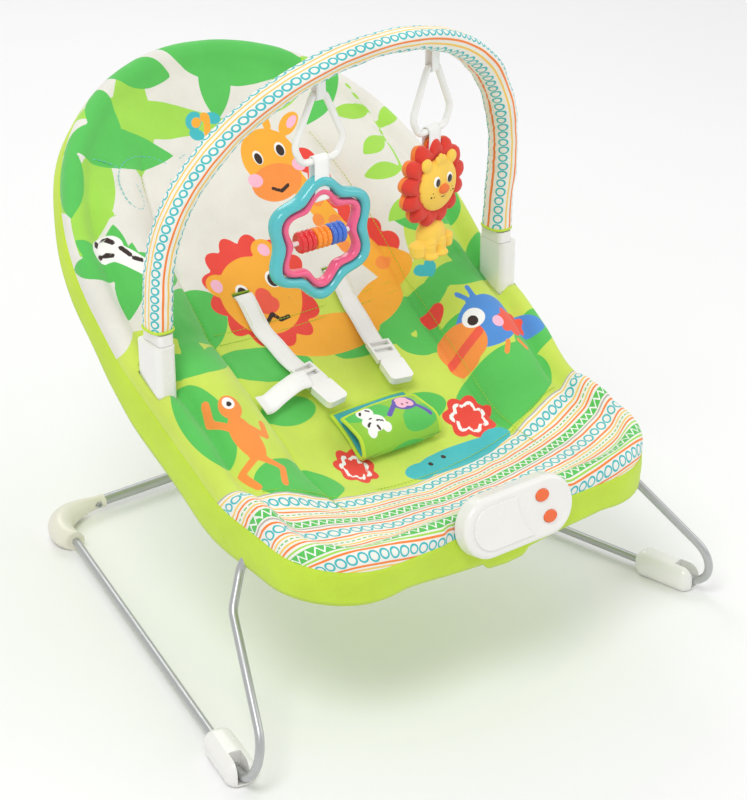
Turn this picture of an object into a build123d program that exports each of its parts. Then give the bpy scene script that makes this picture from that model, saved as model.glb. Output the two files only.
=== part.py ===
"""A baby bouncer seat: a sprung wire stand, a tube frame with a padded sling cover, a three-point
harness, a lift-out toy bar with two hanging toys, and a battery vibration unit on the front tube.

Millimetres. X runs across the seat, Y towards the back, Z up. The origin is on the floor, in the
middle of the object's width and depth. Every function builds one sub-part where it belongs.
"""
from build123d import *
import os
from math import atan2, cos, degrees, pi, radians, sin, sqrt, tan

# ---------------------------------------------------------------- driving dimensions
# Wire stand
ROD_R = 4.0                 # radius of the stand's steel rod
FRONT_HALF = 260.5          # half distance between the rods where the front bends begin
REAR_HALF = 171.5           # half distance between the rods at the mouths of the rear corners
HEEL_Y = -213.0             # where the front bends begin
REAR_MOUTH_Y = 202.0        # mouths of the rear corners
CROSS_Y = 253.0             # axis of the rear cross tube
RAIL_Z = 10.0               # axis of the rods that lie on the floor
CROSS_Z = 13.0
CROSS_R = 5.5
CROSS_HALF = REAR_HALF - 21.5    # half length of the cross tube
HEEL_RADIUS = 29.5          # bend that turns the rail up into the leg
SHOULDER_Y = -136.0         # where the leg joins the line of the seat frame
KNEE = (31.6, -18.0, -77.3)      # right leg's corners, from its shoulder: end of its straight run
SHIN = (10.1, -1.0, -46.3)
ELBOW = (-2.9, -15.0, -15.3)
LEG_RADII = [HEEL_RADIUS, 25.0, 22.0, 12.5, 18.0, 36.0]
HEEL_GAP = 0.25             # clearance round the ball that stands for the bend's flex

# Seat frame line, from front to head: heights of the tube's axis over the floor
FRAME_FRONT = (-244.5, 190.1)    # (y, z) of the front tube
FRAME_KNEE = (-110.0, 204.0)     # the seat turns up here
FRAME_HIP = (30.0, 286.0)        # the backrest turns up here
BACK_SLOPE = 40.4           # degrees
ARCH_Y = 71.0               # the oval head arch begins here
TUBE_R = 5.25               # seat tubes
TUBE_BORE_R = ROD_R + 0.1
HIP_HALF = 199.0            # half distance between tube axes at the hips and above
FRONT_CORNER_HALF = 188.0   # and at the front corners
FRONT_CORNER_Y = -170.0
FRONT_CORNER_R = 64.0
HEAD_RISE = 229.0           # from ARCH_Y to the top of the head arch, along the slope
HEAD_SIDE_R = 280.0         # radius of the arch's flatter flanks
JOIN_Y = -52.0              # lower ends of the back tube
ROD_INSERT = 34.0           # how far the leg rod goes up into the back tube, in Y
FIT = 0.06                  # running clearance, on radius, of parts that slide on each other

# Cover
PAD = 9.0                   # thickness of the padded panels
EDGE_INSET = 15.5           # from the tube's axis to the panel's edge
BINDING_R = TUBE_R + 4.05   # outside radius of the fabric tunnel round the tubes
SOFT_GAP = 0.4              # kept between soft pieces and what they touch
SLOT_X = 52.0
SLOT_Y = 58.0

# Vibration unit
UNIT_W = 120.0
UNIT_H = 55.0
UNIT_TILT = 13.0            # how far its face leans back
UNIT_WALL = 2.0
DOOR_EDGE_INSET = 8.0
DOOR_HOLE_INSET = 12.0
UNIT_FRONT_DEPTH = 9.0
UNIT_REAR_DEPTH = 10.5
UNIT_TUBE_V = 3.7           # height of the front tube's axis over the unit's middle
CELL_R = 7.1
CELL_L = 50.0
BUTTONS = {"upper_button": (25.0, 12.0), "lower_button": (31.0, -9.0)}
BUTTON_RX = 7.3
BUTTON_RY = 5.6

# Toy bar
BAR_SOCKET_Y = -4.0
BAR_INSET = 6.1             # how far inside the back tube's axis the bar's legs stand
SOCKET_RISE = 47.0          # from the back tube's axis to the top of the bar's socket
BAR_LEG = 60.0              # from the socket's top to where the half-round begins
BAR_LEAN_R = 470.0
BAR_CORE = (5.0, 20.0)      # plastic strip: thickness and width
SLEEVE = (23.0, 29.0)       # padded sleeve: radial thickness and width
SOCKET_SIZE = (20.0, 36.0)
PLUG_DEPTH = 24.0

# Toys
TOY_X = 61.0
LOOP_DROP = 15.0            # from the sleeve's underside to the axis of a link's top
LINK_H = 57.8               # between the axes of a link's top and bottom bars
LINK_ROD = 3.1              # radius of a link's rod
TAPE_T = 1.2                # thickness of the toys' tape
TAPE_GAP = 0.45             # between the tape and the rod it hangs on
RATTLE_DROP = 71.0          # from the link's bottom bar to the middle of the ring
RATTLE_LOBES = 6
LOBE_RISE = 4.5             # how far a lobe stands out
RING_OUTER = (53.0, 42.5, 7.0)    # outer ring: outside and inside radius, half thickness
RING_INNER = (42.2, 34.5, 5.5)
AXLE_R = 2.2
BEADS = {"red_bead": -16.0, "orange_bead": 0.0, "blue_bead": 16.0}
BEAD_L = 15.4
BEAD_R = 10.0
MANE_DROP = 48.0            # from the link's bottom bar to the middle of the mane
MANE_R = 33.5
MANE_SCALLOPS = 13
MANE_T = 20.0
FACE_R = 26.0
LION_TURN = 12.0            # degrees that the right toy faces outwards

# Harness
STRAP_W = 19.0
STRAP_T = 1.5
STRAP_LIFT = 3.2            # straps' height over the cover
BUCKLE_END = (-41.0, -36.0)      # left strap's end at its buckle: (x, y)
BUCKLE_LIFT = 11.5          # height of that end over the cover
BUCKLE_SIZE = (28.0, STRAP_W + 5.0, 7.0)  # length, width and thickness of the buckle's socket
PAD_W = 84.0
PAD_T = 6.0

X_AXIS = (1, 0, 0)


# ---------------------------------------------------------------- the frame line
def slope_at(y):
    """Slope of the frame line at y, in degrees."""
    if y < FRAME_KNEE[0]:
        return degrees(atan2(FRAME_KNEE[1] - FRAME_FRONT[1], FRAME_KNEE[0] - FRAME_FRONT[0]))
    if y < FRAME_HIP[0]:
        return degrees(atan2(FRAME_HIP[1] - FRAME_KNEE[1], FRAME_HIP[0] - FRAME_KNEE[0]))
    return BACK_SLOPE


def frame_z(y):
    """Height of the tube's axis at y."""
    if y < FRAME_KNEE[0]:
        return FRAME_FRONT[1] + (y - FRAME_FRONT[0]) * tan(radians(slope_at(y)))
    if y < FRAME_HIP[0]:
        return FRAME_KNEE[1] + (y - FRAME_KNEE[0]) * tan(radians(slope_at(y)))
    return FRAME_HIP[1] + (y - FRAME_HIP[0]) * tan(radians(BACK_SLOPE))


def side_x(y):
    """Half distance between the side tubes at y, below the head arch."""
    share = (FRAME_HIP[0] - y) / (FRAME_HIP[0] - FRONT_CORNER_Y)
    return HIP_HALF - max(share, 0) * (HIP_HALF - FRONT_CORNER_HALF)


def side_point(y):
    return (side_x(y), y, frame_z(y))


# Toy bar: half distance between its legs, and the heights where its socket ends, its lean begins
# and its half-round begins
BAR_HALF = side_x(BAR_SOCKET_Y) - BAR_INSET
SOCKET_TOP = frame_z(BAR_SOCKET_Y) + SOCKET_RISE
BAR_LEAN_Z = SOCKET_TOP - 3.0
BAR_SPRING_Z = SOCKET_TOP + BAR_LEG

BACK_PLANE = Plane(
    origin=(0, ARCH_Y, frame_z(ARCH_Y)),
    x_dir=X_AXIS,
    z_dir=(0, -sin(radians(BACK_SLOPE)), cos(radians(BACK_SLOPE))),
)


def arch_numbers():
    """Radius of the head arch's top, the height of its centre, and the flanks' angle in degrees."""
    out = HEAD_SIDE_R - HIP_HALF
    up = HEAD_RISE - HEAD_SIDE_R
    gap = (out**2 + up**2) / (-2 * up)
    top_r = HEAD_SIDE_R - gap
    return top_r, gap + up, degrees(atan2(gap + up, out))


def inside_half(y, inset):
    """Half width, at y, of the shape that stays inset inside the axis of the frame's tubes."""
    if y > ARCH_Y:
        rise = (y - ARCH_Y) / cos(radians(BACK_SLOPE))
        top_r, centre, flank = arch_numbers()
        if rise < HEAD_SIDE_R * sin(radians(flank)):
            return HIP_HALF - HEAD_SIDE_R + sqrt((HEAD_SIDE_R - inset) ** 2 - rise**2)
        return sqrt(max((top_r - inset) ** 2 - (rise - centre) ** 2, 0))
    corner_centre_y = FRAME_FRONT[0] + FRONT_CORNER_R
    if y < corner_centre_y:
        run = corner_centre_y - y
        corner_x = side_x(corner_centre_y) - FRONT_CORNER_R
        return corner_x + sqrt(max((FRONT_CORNER_R - inset) ** 2 - run**2, 0))
    return side_x(y) - inset


# ---------------------------------------------------------------- small helpers
def mirrored(shape):
    """The left-hand twin of a right-hand piece."""
    return mirror(shape, about=Plane.YZ)


def pipe(path, radius, bore=0.0):
    """A round rod or tube along a smooth path."""
    start = Plane(origin=path @ 0, z_dir=path % 0)
    outer = sweep(start * Circle(radius), path=path)
    return outer - sweep(start * Circle(bore), path=path) if bore else outer


def cylinder(start, end, radius):
    """A cylinder between two points."""
    axis = Vector(*end) - Vector(*start)
    plane = Plane(origin=start, z_dir=axis)
    return extrude(plane * Circle(radius), amount=axis.length)


SCREW_R = 1.6
SCREW_HEAD_R = 3.2


def screw(head, direction, length, head_h=2.2):
    """A pan-head screw: head is the middle of the seat under its head, direction runs down it."""
    down = Vector(*direction).normalized()
    seat = Vector(*head)
    shank = cylinder(seat, seat + down * length, SCREW_R)
    top = seat - down * head_h
    cap = cylinder(top, seat, SCREW_HEAD_R)
    slot_plane = Plane(origin=top, z_dir=down)
    recess = extrude(slot_plane * (Rectangle(3.4, 0.9) + Rectangle(0.9, SCREW_HEAD_R + 0.2)), amount=1.1)
    return (shank + cap) - recess


# ---------------------------------------------------------------- wire stand
HEEL = (FRONT_HALF, HEEL_Y, RAIL_Z)
RAIL_TOE = degrees(atan2(FRONT_HALF - REAR_HALF, REAR_MOUTH_Y - HEEL_Y))
RAIL_DIR = Vector(sin(radians(RAIL_TOE)), -cos(radians(RAIL_TOE)), 0)   # forwards and outwards


def rail_point(y):
    return Vector(*HEEL) + RAIL_DIR * ((HEEL_Y - y) / cos(radians(RAIL_TOE)))


def base_rail():
    rear = rail_point(REAR_MOUTH_Y + 28)
    rail = cylinder(rear, HEEL, ROD_R)
    return rail - Pos(*HEEL) * Sphere(ROD_R + HEEL_GAP)


HEEL_RUN = 3.14             # from the heel to the corner of its bend, in bend radii


def leg_path(end_y):
    """The leg rod's line: heel, bend, straight run, two short bends, then along the seat frame."""
    toe = Vector(*HEEL) + RAIL_DIR * (HEEL_RADIUS * HEEL_RUN)
    shoulder = Vector(*side_point(SHOULDER_Y))
    corners = [shoulder + Vector(*offset_by) for offset_by in (KNEE, SHIN, ELBOW)]
    return FilletPolyline(
        HEEL, toe, *corners, shoulder, side_point(FRAME_KNEE[0]), side_point(end_y),
        radius=LEG_RADII,
    )


def leg():
    return pipe(leg_path(JOIN_Y + ROD_INSERT), ROD_R) + Pos(*HEEL) * Sphere(ROD_R)


def front_foot():
    """A moulded boot on the rail's front end, slotted on top for the rod to bounce in."""
    length, width, height, sunk = 66.0, 28.0, 25.5, 2.0
    middle = rail_point(-195.5)
    turn = Location((middle.X, middle.Y, 0), (0, 0, RAIL_TOE))
    body = Pos(0, 0, (height - sunk) / 2) * Box(width, length, height + sunk)
    body = fillet(body.edges(), 11.5)
    body = turn * body
    body = body - Pos(0, 0, -50) * Box(900, 900, 100)
    body = body - cylinder(rail_point(-150), rail_point(HEEL_Y + 4), ROD_R + FIT)
    slot_w, slot_floor = 2 * ROD_R + 3.2, RAIL_Z - ROD_R - 1.2
    slot_mid = rail_point(-232.5)
    slot = Box(slot_w, 52, 60)
    cut = Location((slot_mid.X, slot_mid.Y, slot_floor + 30), (0, 0, RAIL_TOE)) * slot
    return body - cut


REAR_SCREW_X = CROSS_HALF - 33


def rear_cross_tube():
    ends = (-CROSS_HALF, CROSS_Y, CROSS_Z), (CROSS_HALF, CROSS_Y, CROSS_Z)
    tube = cylinder(*ends, CROSS_R) - cylinder(*ends, CROSS_R - 1.2)
    for x in (REAR_SCREW_X, -REAR_SCREW_X):
        tube -= cylinder((x, CROSS_Y - 20, CROSS_Z), (x, CROSS_Y, CROSS_Z), SCREW_R)
    return tube


def rear_corner():
    """A curved horn that joins the rail to the cross tube and stands on the floor."""
    mouth = rail_point(REAR_MOUTH_Y)
    stations = [
        ((CROSS_HALF - 41, CROSS_Y, CROSS_Z), (1, 0, 0), 7.2, 7.2),
        ((CROSS_HALF - 10, CROSS_Y - 0.5, CROSS_Z - 0.5), (1, -0.12, 0), 9.5, 10.0),
        ((CROSS_HALF + 14, CROSS_Y - 11, 11.5), (0.85, -0.75, 0), 13.0, 12.4),
        ((mouth.X + 2.5, CROSS_Y - 28, 11), (0.25, -1, 0), 12.5, 12.0),
        ((mouth.X, mouth.Y, RAIL_Z), RAIL_DIR, 9.0, 10.2),
    ]
    sections = [
        Plane(origin=at, x_dir=(0, 0, 1), z_dir=aim) * Ellipse(high, wide)
        for at, aim, wide, high in stations
    ]
    horn = loft(sections) - Pos(0, 0, -50) * Box(900, 900, 100)
    horn -= cylinder((0, CROSS_Y, CROSS_Z), (CROSS_HALF, CROSS_Y, CROSS_Z), CROSS_R)
    horn -= cylinder(rail_point(REAR_MOUTH_Y + 28), rail_point(150), ROD_R)
    x, seat_y = REAR_SCREW_X, CROSS_Y - CROSS_R - 0.4
    horn -= cylinder((x, CROSS_Y - 20, CROSS_Z), (x, CROSS_Y, CROSS_Z), SCREW_R)
    return horn - cylinder((x, CROSS_Y - 20, CROSS_Z), (x, seat_y, CROSS_Z), SCREW_HEAD_R + 0.2)


def rear_corner_screws():
    right = screw((REAR_SCREW_X, CROSS_Y - CROSS_R - 0.4, CROSS_Z), (0, 1, 0), 4.5, head_h=1.2)
    return Compound([right, mirrored(right)])


# ---------------------------------------------------------------- seat frame
def half_back_path(start_y):
    """Edges of the right half of the back tube, from start_y up to the middle of the head."""
    top_r, centre, flank = arch_numbers()
    lower = FilletPolyline(
        side_point(start_y), side_point(FRAME_HIP[0]), side_point(ARCH_Y),
        radius=[90.0],
    )

    def on_plane(x, rise):
        return BACK_PLANE.from_local_coords(Vector(x, rise, 0))

    def flank_point(angle):
        a = radians(angle)
        return on_plane(HIP_HALF - HEAD_SIDE_R + HEAD_SIDE_R * cos(a), HEAD_SIDE_R * sin(a))

    def top_point(angle):
        a = radians(angle)
        return on_plane(top_r * cos(a), centre + top_r * sin(a))

    side = ThreePointArc(flank_point(0), flank_point(flank / 2), flank_point(flank))
    top = ThreePointArc(top_point(flank), top_point((flank + 90) / 2), top_point(90))
    return lower.edges() + [side.edge(), top.edge()]


def back_path(start_y):
    right = half_back_path(start_y)
    left = [e.mirror(Plane.YZ) for e in right]
    return Wire(list(right) + left)


def back_tube():
    return pipe(back_path(JOIN_Y), TUBE_R, TUBE_BORE_R)


def front_path(start_y):
    corner = (side_x(FRAME_FRONT[0]), FRAME_FRONT[0], FRAME_FRONT[1])
    start = side_point(start_y)
    twin = [(-p[0], p[1], p[2]) for p in (corner, start)]
    return FilletPolyline(start, corner, *twin, radius=FRONT_CORNER_R)


FRONT_TUBE_END = SHOULDER_Y - 15


def front_tube():
    return pipe(front_path(FRONT_TUBE_END), TUBE_R, TUBE_BORE_R)


def along_side(start_y, end_y, radius):
    return cylinder(side_point(start_y), side_point(end_y), radius)


def side_joint():
    """A moulded collar over the joint of leg rod and back tube."""
    low, high = JOIN_Y - 22, JOIN_Y + 20
    collar = along_side(low, high, 9.5)
    ends = collar.edges().filter_by(GeomType.CIRCLE)
    collar = fillet(ends, 2.0)
    collar -= along_side(JOIN_Y - 0.3, high + 5, TUBE_R)
    collar -= along_side(low - 5, JOIN_Y, ROD_R)
    hole_y = JOIN_Y - 10
    x, y, z = side_point(hole_y)
    collar -= cylinder((x + 3.9, y, z), (x + 20, y, z), SCREW_R)
    return collar - cylinder((x + 7.4, y, z), (x + 20, y, z), SCREW_HEAD_R + 0.2)


FRONT_CLIP_Y = SHOULDER_Y - 10
FRONT_SCREW_Y = FRONT_CLIP_Y - 12
FRONT_SCREW_SEAT = TUBE_R + 2.0     # from the tube's axis down to the screw's seat


def front_tube_clip():
    """A clamp that holds the front tube's end to the top bend of the leg."""
    x, y, z = side_point(FRONT_CLIP_Y)
    body = Pos(x, y + 1, z) * Box(17, 32, 18)
    body = fillet(body.edges().filter_by(Axis.Z), 4.0)
    body -= cylinder(side_point(FRONT_TUBE_END - 40), side_point(FRONT_TUBE_END), TUBE_R)
    body -= pipe(leg_path(JOIN_Y), ROD_R + 0.02)
    x, y, z = side_point(FRONT_SCREW_Y)
    body -= cylinder((x, y, z), (x, y, z - 20), SCREW_R)
    return body - cylinder((x, y, z - FRONT_SCREW_SEAT), (x, y, z - 20), SCREW_HEAD_R + 0.2)


def seat_frame_screws():
    x, y, z = side_point(JOIN_Y - 10)
    side = screw((x + 7.4, y, z), (-1, 0, 0), 3.3)
    cx, cy, cz = side_point(FRONT_SCREW_Y)
    front = screw((cx, cy, cz - FRONT_SCREW_SEAT), (0, 0, 1), 1.6)
    return Compound([side, mirrored(side), front, mirrored(front)])


def toy_bar_socket():
    """A moulded socket clamped on the back tube; the toy bar's plug drops into it."""
    width, depth = SOCKET_SIZE
    z_tube = frame_z(BAR_SOCKET_Y)
    bottom = z_tube - 19
    tall = SOCKET_TOP - bottom
    x_mid = BAR_HALF + 2.5
    body = Pos(x_mid, BAR_SOCKET_Y, bottom + tall / 2) * Box(width, depth, tall)
    body = fillet(body.edges().filter_by(Axis.Z), 6.0)
    foot_edges = body.edges().group_by(Axis.Z)[0]
    body = fillet(foot_edges, 3.0)
    body -= along_side(BAR_SOCKET_Y - 40, BAR_SOCKET_Y + 33, TUBE_R)
    plug = bar_plug(FIT + 0.15)
    return body - plug


# ---------------------------------------------------------------- toy bar
def bar_band(thickness, width, foot_z, grow=0.0):
    """A strip that follows the arch: legs up from foot_z, half round over the top, leaning forward."""
    inner = BAR_HALF - thickness / 2 - grow
    outer = BAR_HALF + thickness / 2 + grow
    front = Pos(0, BAR_SPRING_Z, 0) * (Circle(outer) - Circle(inner))
    front -= Pos(0, BAR_SPRING_Z - outer, 0) * Rectangle(4 * outer, 2 * outer)
    legs = Rectangle(2 * outer, BAR_SPRING_Z - foot_z) - Rectangle(2 * inner, BAR_SPRING_Z - foot_z)
    front += Pos(0, (BAR_SPRING_Z + foot_z) / 2, 0) * legs
    band = extrude(Plane(origin=(0, 200, 0), x_dir=X_AXIS, z_dir=(0, -1, 0)) * front, amount=500)
    half = width / 2 + grow
    centre_y = BAR_SOCKET_Y - BAR_LEAN_R
    ring = Pos(centre_y, BAR_LEAN_Z, 0) * (Circle(BAR_LEAN_R + half) - Circle(BAR_LEAN_R - half))
    ring -= Pos(centre_y, BAR_LEAN_Z - 700, 0) * Rectangle(1400, 1400)
    ring -= Pos(centre_y - 700, BAR_LEAN_Z, 0) * Rectangle(1400, 1400)
    lower = Pos(BAR_SOCKET_Y, BAR_LEAN_Z - 60, 0) * Rectangle(2 * half, 120)
    lean = extrude(Plane.YZ * (ring + lower), amount=2 * outer + 40, both=True)
    return (band & lean).solids()[0]


def bar_plug(grow=0.0):
    """The end of the toy bar that drops into its socket."""
    thickness, width = BAR_CORE
    low = SOCKET_TOP - PLUG_DEPTH - grow
    high = SOCKET_TOP + 1
    box = Box(thickness + 2 + 2 * grow, width + 3 + 2 * grow, high - low)
    return Pos(BAR_HALF, BAR_SOCKET_Y, (low + high) / 2) * box


def toy_bar_core():
    """The bar itself: a springy strip with a plug and a shoulder on each end."""
    core = bar_band(*BAR_CORE, SOCKET_TOP + 0.3)
    for side in (1, -1):
        shoulder = Pos(BAR_HALF, BAR_SOCKET_Y, SOCKET_TOP + 5.6) * Box(15, 30, 10.4)
        shoulder = fillet(shoulder.edges().filter_by(Axis.Z), 4.0)
        end = bar_plug() + shoulder
        core += end if side > 0 else mirrored(end)
    return core


SLEEVE_HEM_Z = SOCKET_TOP + 12


def toy_bar_sleeve():
    """The padded fabric sleeve on the bar."""
    outer = bar_band(*SLEEVE, SLEEVE_HEM_Z)
    return outer - bar_band(BAR_CORE[0] + 0.3, BAR_CORE[1] + 0.3, SLEEVE_HEM_Z - 5)


def arch_under(x):
    """(y, z) of the sleeve's underside at x."""
    z = BAR_SPRING_Z + sqrt((BAR_HALF - SLEEVE[0] / 2) ** 2 - x**2)
    return BAR_SOCKET_Y - BAR_LEAN_R + sqrt(BAR_LEAN_R**2 - (z - BAR_LEAN_Z) ** 2), z


LOOP_Y, LOOP_TOP = arch_under(TOY_X)


def facing(x_side, turn):
    """Plane through a link's top that faces the front, turned outwards by turn degrees."""
    a = radians(turn) * x_side
    return Plane(
        origin=(x_side * TOY_X, LOOP_Y, LOOP_TOP - LOOP_DROP),
        x_dir=(cos(a), sin(a), 0),
        z_dir=(sin(a), -cos(a), 0),
    )


LEFT_HANG = facing(-1, 0.0)
RIGHT_HANG = facing(1, LION_TURN)


def tape(hang, profile, width):
    """Extrudes a side view (x: towards the front, y: up from the link's top) across the link."""
    side = Plane(origin=hang.origin, x_dir=hang.z_dir, z_dir=hang.x_dir * -1)
    return extrude(side * profile, amount=width / 2, both=True)


def toy_loops():
    """Two tape loops sewn under the sleeve, which carry the links."""
    inner = LINK_ROD + TAPE_GAP
    outer = inner + TAPE_T
    rise = LOOP_DROP + 8
    profile = Circle(outer) + Pos(0, rise / 2, 0) * Rectangle(2 * outer, rise)
    profile -= Circle(inner) + Pos(0, rise, 0) * Rectangle(2 * inner, 2 * rise)
    sleeve = bar_band(SLEEVE[0] + 0.02, SLEEVE[1] + 0.02, SLEEVE_HEM_Z)
    loops = [tape(hang, profile, 6.0) - sleeve for hang in (LEFT_HANG, RIGHT_HANG)]
    return Compound([s for loop in loops for s in loop.solids() if s.center().Z < LOOP_TOP])


# ---------------------------------------------------------------- toys
def toy_link(hang):
    """A teardrop ring of round rod with a short straight bar at its top and its bottom."""
    points = [(0, 0), (6.5, 0), (26, -0.727 * LINK_H), (18, -LINK_H), (0, -LINK_H)]
    right = FilletPolyline(*points, radius=[4.5, 13.0, 9.0])
    half = right.edges()
    path = Wire(list(half) + [e.mirror(Plane.YZ) for e in half])
    start = Plane(origin=path @ 0, z_dir=path % 0)
    return hang.location * sweep(start * Circle(LINK_ROD), path=path)


def hung_plane(hang, drop):
    """The hang plane moved down to drop under the link's bottom bar."""
    origin = hang.origin - Vector(0, 0, LINK_H + drop)
    return Plane(origin=origin, x_dir=hang.x_dir, z_dir=hang.z_dir)


def lobed_face(radius, rise, lobes):
    """A wavy disc with its first lobe at the top: one curve from each crest or dip to the next."""
    ends = []
    for i in range(2 * lobes + 1):
        angle = pi / 2 + pi / lobes * i
        r = radius + (rise if i % 2 == 0 else -rise)
        ends.append(((r * cos(angle), r * sin(angle)), (-sin(angle), cos(angle))))
    waves = [Spline(a, b, tangents=[ta, tb]) for (a, ta), (b, tb) in zip(ends, ends[1:])]
    return make_face(waves)


def rattle_ring(size):
    outside, inside, half = size
    face = lobed_face(outside, LOBE_RISE, RATTLE_LOBES) - lobed_face(inside, LOBE_RISE, RATTLE_LOBES)
    ring = extrude(face, amount=half, both=True)
    axle = Rot(0, 90, 0) * Cylinder(AXLE_R, 2 * outside)
    return hung_plane(LEFT_HANG, RATTLE_DROP).location * (ring - axle)


def rattle_axle():
    half = RING_OUTER[1] + 3
    return hung_plane(LEFT_HANG, RATTLE_DROP).location * Rot(0, 90, 0) * Cylinder(AXLE_R, 2 * half)


def bead(x):
    """A ribbed bead that turns on the rattle's axle."""
    body = Cylinder(BEAD_R, BEAD_L)
    for z in (-BEAD_L / 4, BEAD_L / 4):
        body -= Pos(0, 0, z) * (Cylinder(BEAD_R + 1, 1.6) - Cylinder(BEAD_R - 1.2, 1.6))
    body -= Cylinder(AXLE_R + FIT, BEAD_L + 2)
    return hung_plane(LEFT_HANG, RATTLE_DROP).location * Pos(x, 0, 0) * Rot(0, 90, 0) * body


def rattle_tape():
    """The tape that joins the lobed rings to their link."""
    ring_top = -LINK_H - RATTLE_DROP + RING_OUTER[0] + LOBE_RISE + TAPE_GAP
    ring_low = -LINK_H - RATTLE_DROP + RING_INNER[1] + LOBE_RISE - TAPE_GAP - 5.0
    half = RING_OUTER[2] + TAPE_GAP
    inner = Polygon((-half, ring_low), (half, ring_low), (half, ring_top), (-half, ring_top), align=None)
    outer = offset(inner, TAPE_T)
    neck_inner, neck_top = LINK_ROD + TAPE_GAP, -LINK_H
    neck = Pos(0, (neck_top + ring_top) / 2, 0) * Rectangle(2 * (neck_inner + TAPE_T), neck_top - ring_top)
    outer += neck + Pos(0, neck_top, 0) * Circle(neck_inner + TAPE_T)
    hole = Pos(0, neck_top, 0) * Circle(neck_inner)
    return tape(LEFT_HANG, outer - inner - hole, 15.0)


def lion_mane():
    """A scalloped two-shell disc; the tape goes into a slot on its top."""
    disc = Cylinder(MANE_R, MANE_T)
    scallop_r = MANE_R * sin(pi / MANE_SCALLOPS) * 1.08
    for i in range(MANE_SCALLOPS):
        angle = pi / 2 + 2 * pi / MANE_SCALLOPS * i
        at = Pos(MANE_R * cos(angle), MANE_R * sin(angle), 0)
        disc += at * Cylinder(scallop_r, MANE_T)
    disc -= Pos(0, MANE_R + 6, 0) * Box(17, 24, 11)
    disc -= Pos(0, 0, MANE_T / 2) * Cylinder(FACE_R + 0.05, 6)
    return hung_plane(RIGHT_HANG, MANE_DROP).location * disc


def lion_face():
    """A shallow dome with two ears and a raised nose, set in the mane."""
    dome_r = 66.0
    sagitta = dome_r - sqrt(dome_r**2 - FACE_R**2)
    base = MANE_T / 2 - 3
    dome = Pos(0, 0, base + 3 + sagitta - dome_r) * Rot(90, 0, 0) * Sphere(dome_r)
    face = dome & (Pos(0, 0, base + 10) * Cylinder(FACE_R, 20))
    ear = Pos(0, 0, base + 4.4) * Cylinder(6.5, 2.8)
    for side in (1, -1):
        face += Pos(side * 17, 24, 0) * ear
    face += Pos(0, -4, base + 6.5) * Sphere(4.5)
    return hung_plane(RIGHT_HANG, MANE_DROP).location * face


def lion_body():
    """The seated body under the mane: a trunk, two front legs and two paws."""
    plane = hung_plane(RIGHT_HANG, MANE_DROP)
    top = -MANE_R - 9.5
    trunk = Pos(0, top - 9, 0) * Box(30, 20, 19)
    trunk = fillet(trunk.edges().filter_by(Axis.Y), 7.0)
    legs = None
    for x, r, low in ((-8.0, 6.2, 27.0), (6.0, 6.2, 28.0)):
        leg_post = Pos(x, top - low / 2 + 1, 5) * Rot(90, 0, 0) * Cylinder(r, low)
        legs = leg_post if legs is None else legs + leg_post
    body = trunk + legs
    for side in (1, -1):
        body += Pos(side * 20, top - 14, 1) * Rot(90, 0, 0) * Cylinder(8.0, 17)
    neck = Pos(0, top + 3, 0) * Box(22, 12, 12)
    body += neck
    body = plane.location * body
    return body - lion_mane() - lion_face()


def lion_tape():
    inner = LINK_ROD + TAPE_GAP
    outer = inner + TAPE_T
    low = -LINK_H - MANE_DROP + MANE_R - 5
    profile = Pos(0, -LINK_H, 0) * Circle(outer)
    profile += Pos(0, (low - LINK_H) / 2, 0) * Rectangle(2 * outer, -LINK_H - low)
    profile -= Pos(0, -LINK_H, 0) * Circle(inner)
    return tape(RIGHT_HANG, profile, 15.0) - lion_mane()


# ---------------------------------------------------------------- cover
SEAT_STATIONS = [(-228.0, 2.0), (-205.0, 9.0), (-160.0, 20.0), (-110.0, 25.0), (-40.0, 26.0), (29.6, 26.0)]
BACK_STATIONS = [(30.4, 26.0), (90.0, 25.0), (150.0, 20.0), (200.0, 12.0), (229.0, 4.0)]


def station_plane(y):
    """Plane across the seat at y, square to the frame line; a bend takes the angle between its runs."""
    angle = radians((slope_at(y - 1) + slope_at(y + 1)) / 2)
    return Plane(origin=(0, y, frame_z(y)), x_dir=X_AXIS, z_dir=(0, -cos(angle), -sin(angle)))


def sag_at(y):
    """How far the cover's middle hangs under the frame line at y."""
    table = SEAT_STATIONS + BACK_STATIONS
    for (y0, s0), (y1, s1) in zip(table, table[1:]):
        if y <= y1:
            return s0 + (s1 - s0) * max(y - y0, 0) / (y1 - y0)
    return table[-1][1]


def cover_depth(x, y):
    """Depth of the cover's top under the frame line at x, on the plane of the station at y."""
    half = inside_half(y, EDGE_INSET)
    return sag_at(y) * (1 - (x / half) ** 2)


def on_cover(x, y, lift=0.0):
    """A point lift over the cover's top surface."""
    return station_plane(y).from_local_coords(Vector(x, -cover_depth(x, y) + lift, 0))


def cover_section(y, sag):
    """A sagging strip, PAD thick, across the seat."""
    half = inside_half(y, EDGE_INSET)
    top = ThreePointArc((-half, 0), (0, -sag), (half, 0))
    low = ThreePointArc((half, -PAD), (0, -sag - PAD), (-half, -PAD))
    sides = [Line((half, 0), (half, -PAD)), Line((-half, -PAD), (-half, 0))]
    return station_plane(y) * make_face([top, sides[0], low, sides[1]])


def cover_panel(stations):
    return loft([cover_section(y, sag) for y, sag in stations], ruled=True)


def seat_panel():
    return cover_panel(SEAT_STATIONS)


def back_panel():
    panel = cover_panel(BACK_STATIONS)
    for x in (SLOT_X, -SLOT_X):
        at = on_cover(x, SLOT_Y)
        plane = Plane(origin=at, x_dir=X_AXIS, z_dir=BACK_PLANE.z_dir)
        panel -= plane * Box(STRAP_W + 4, 5, 4 * PAD)
    return panel


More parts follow.
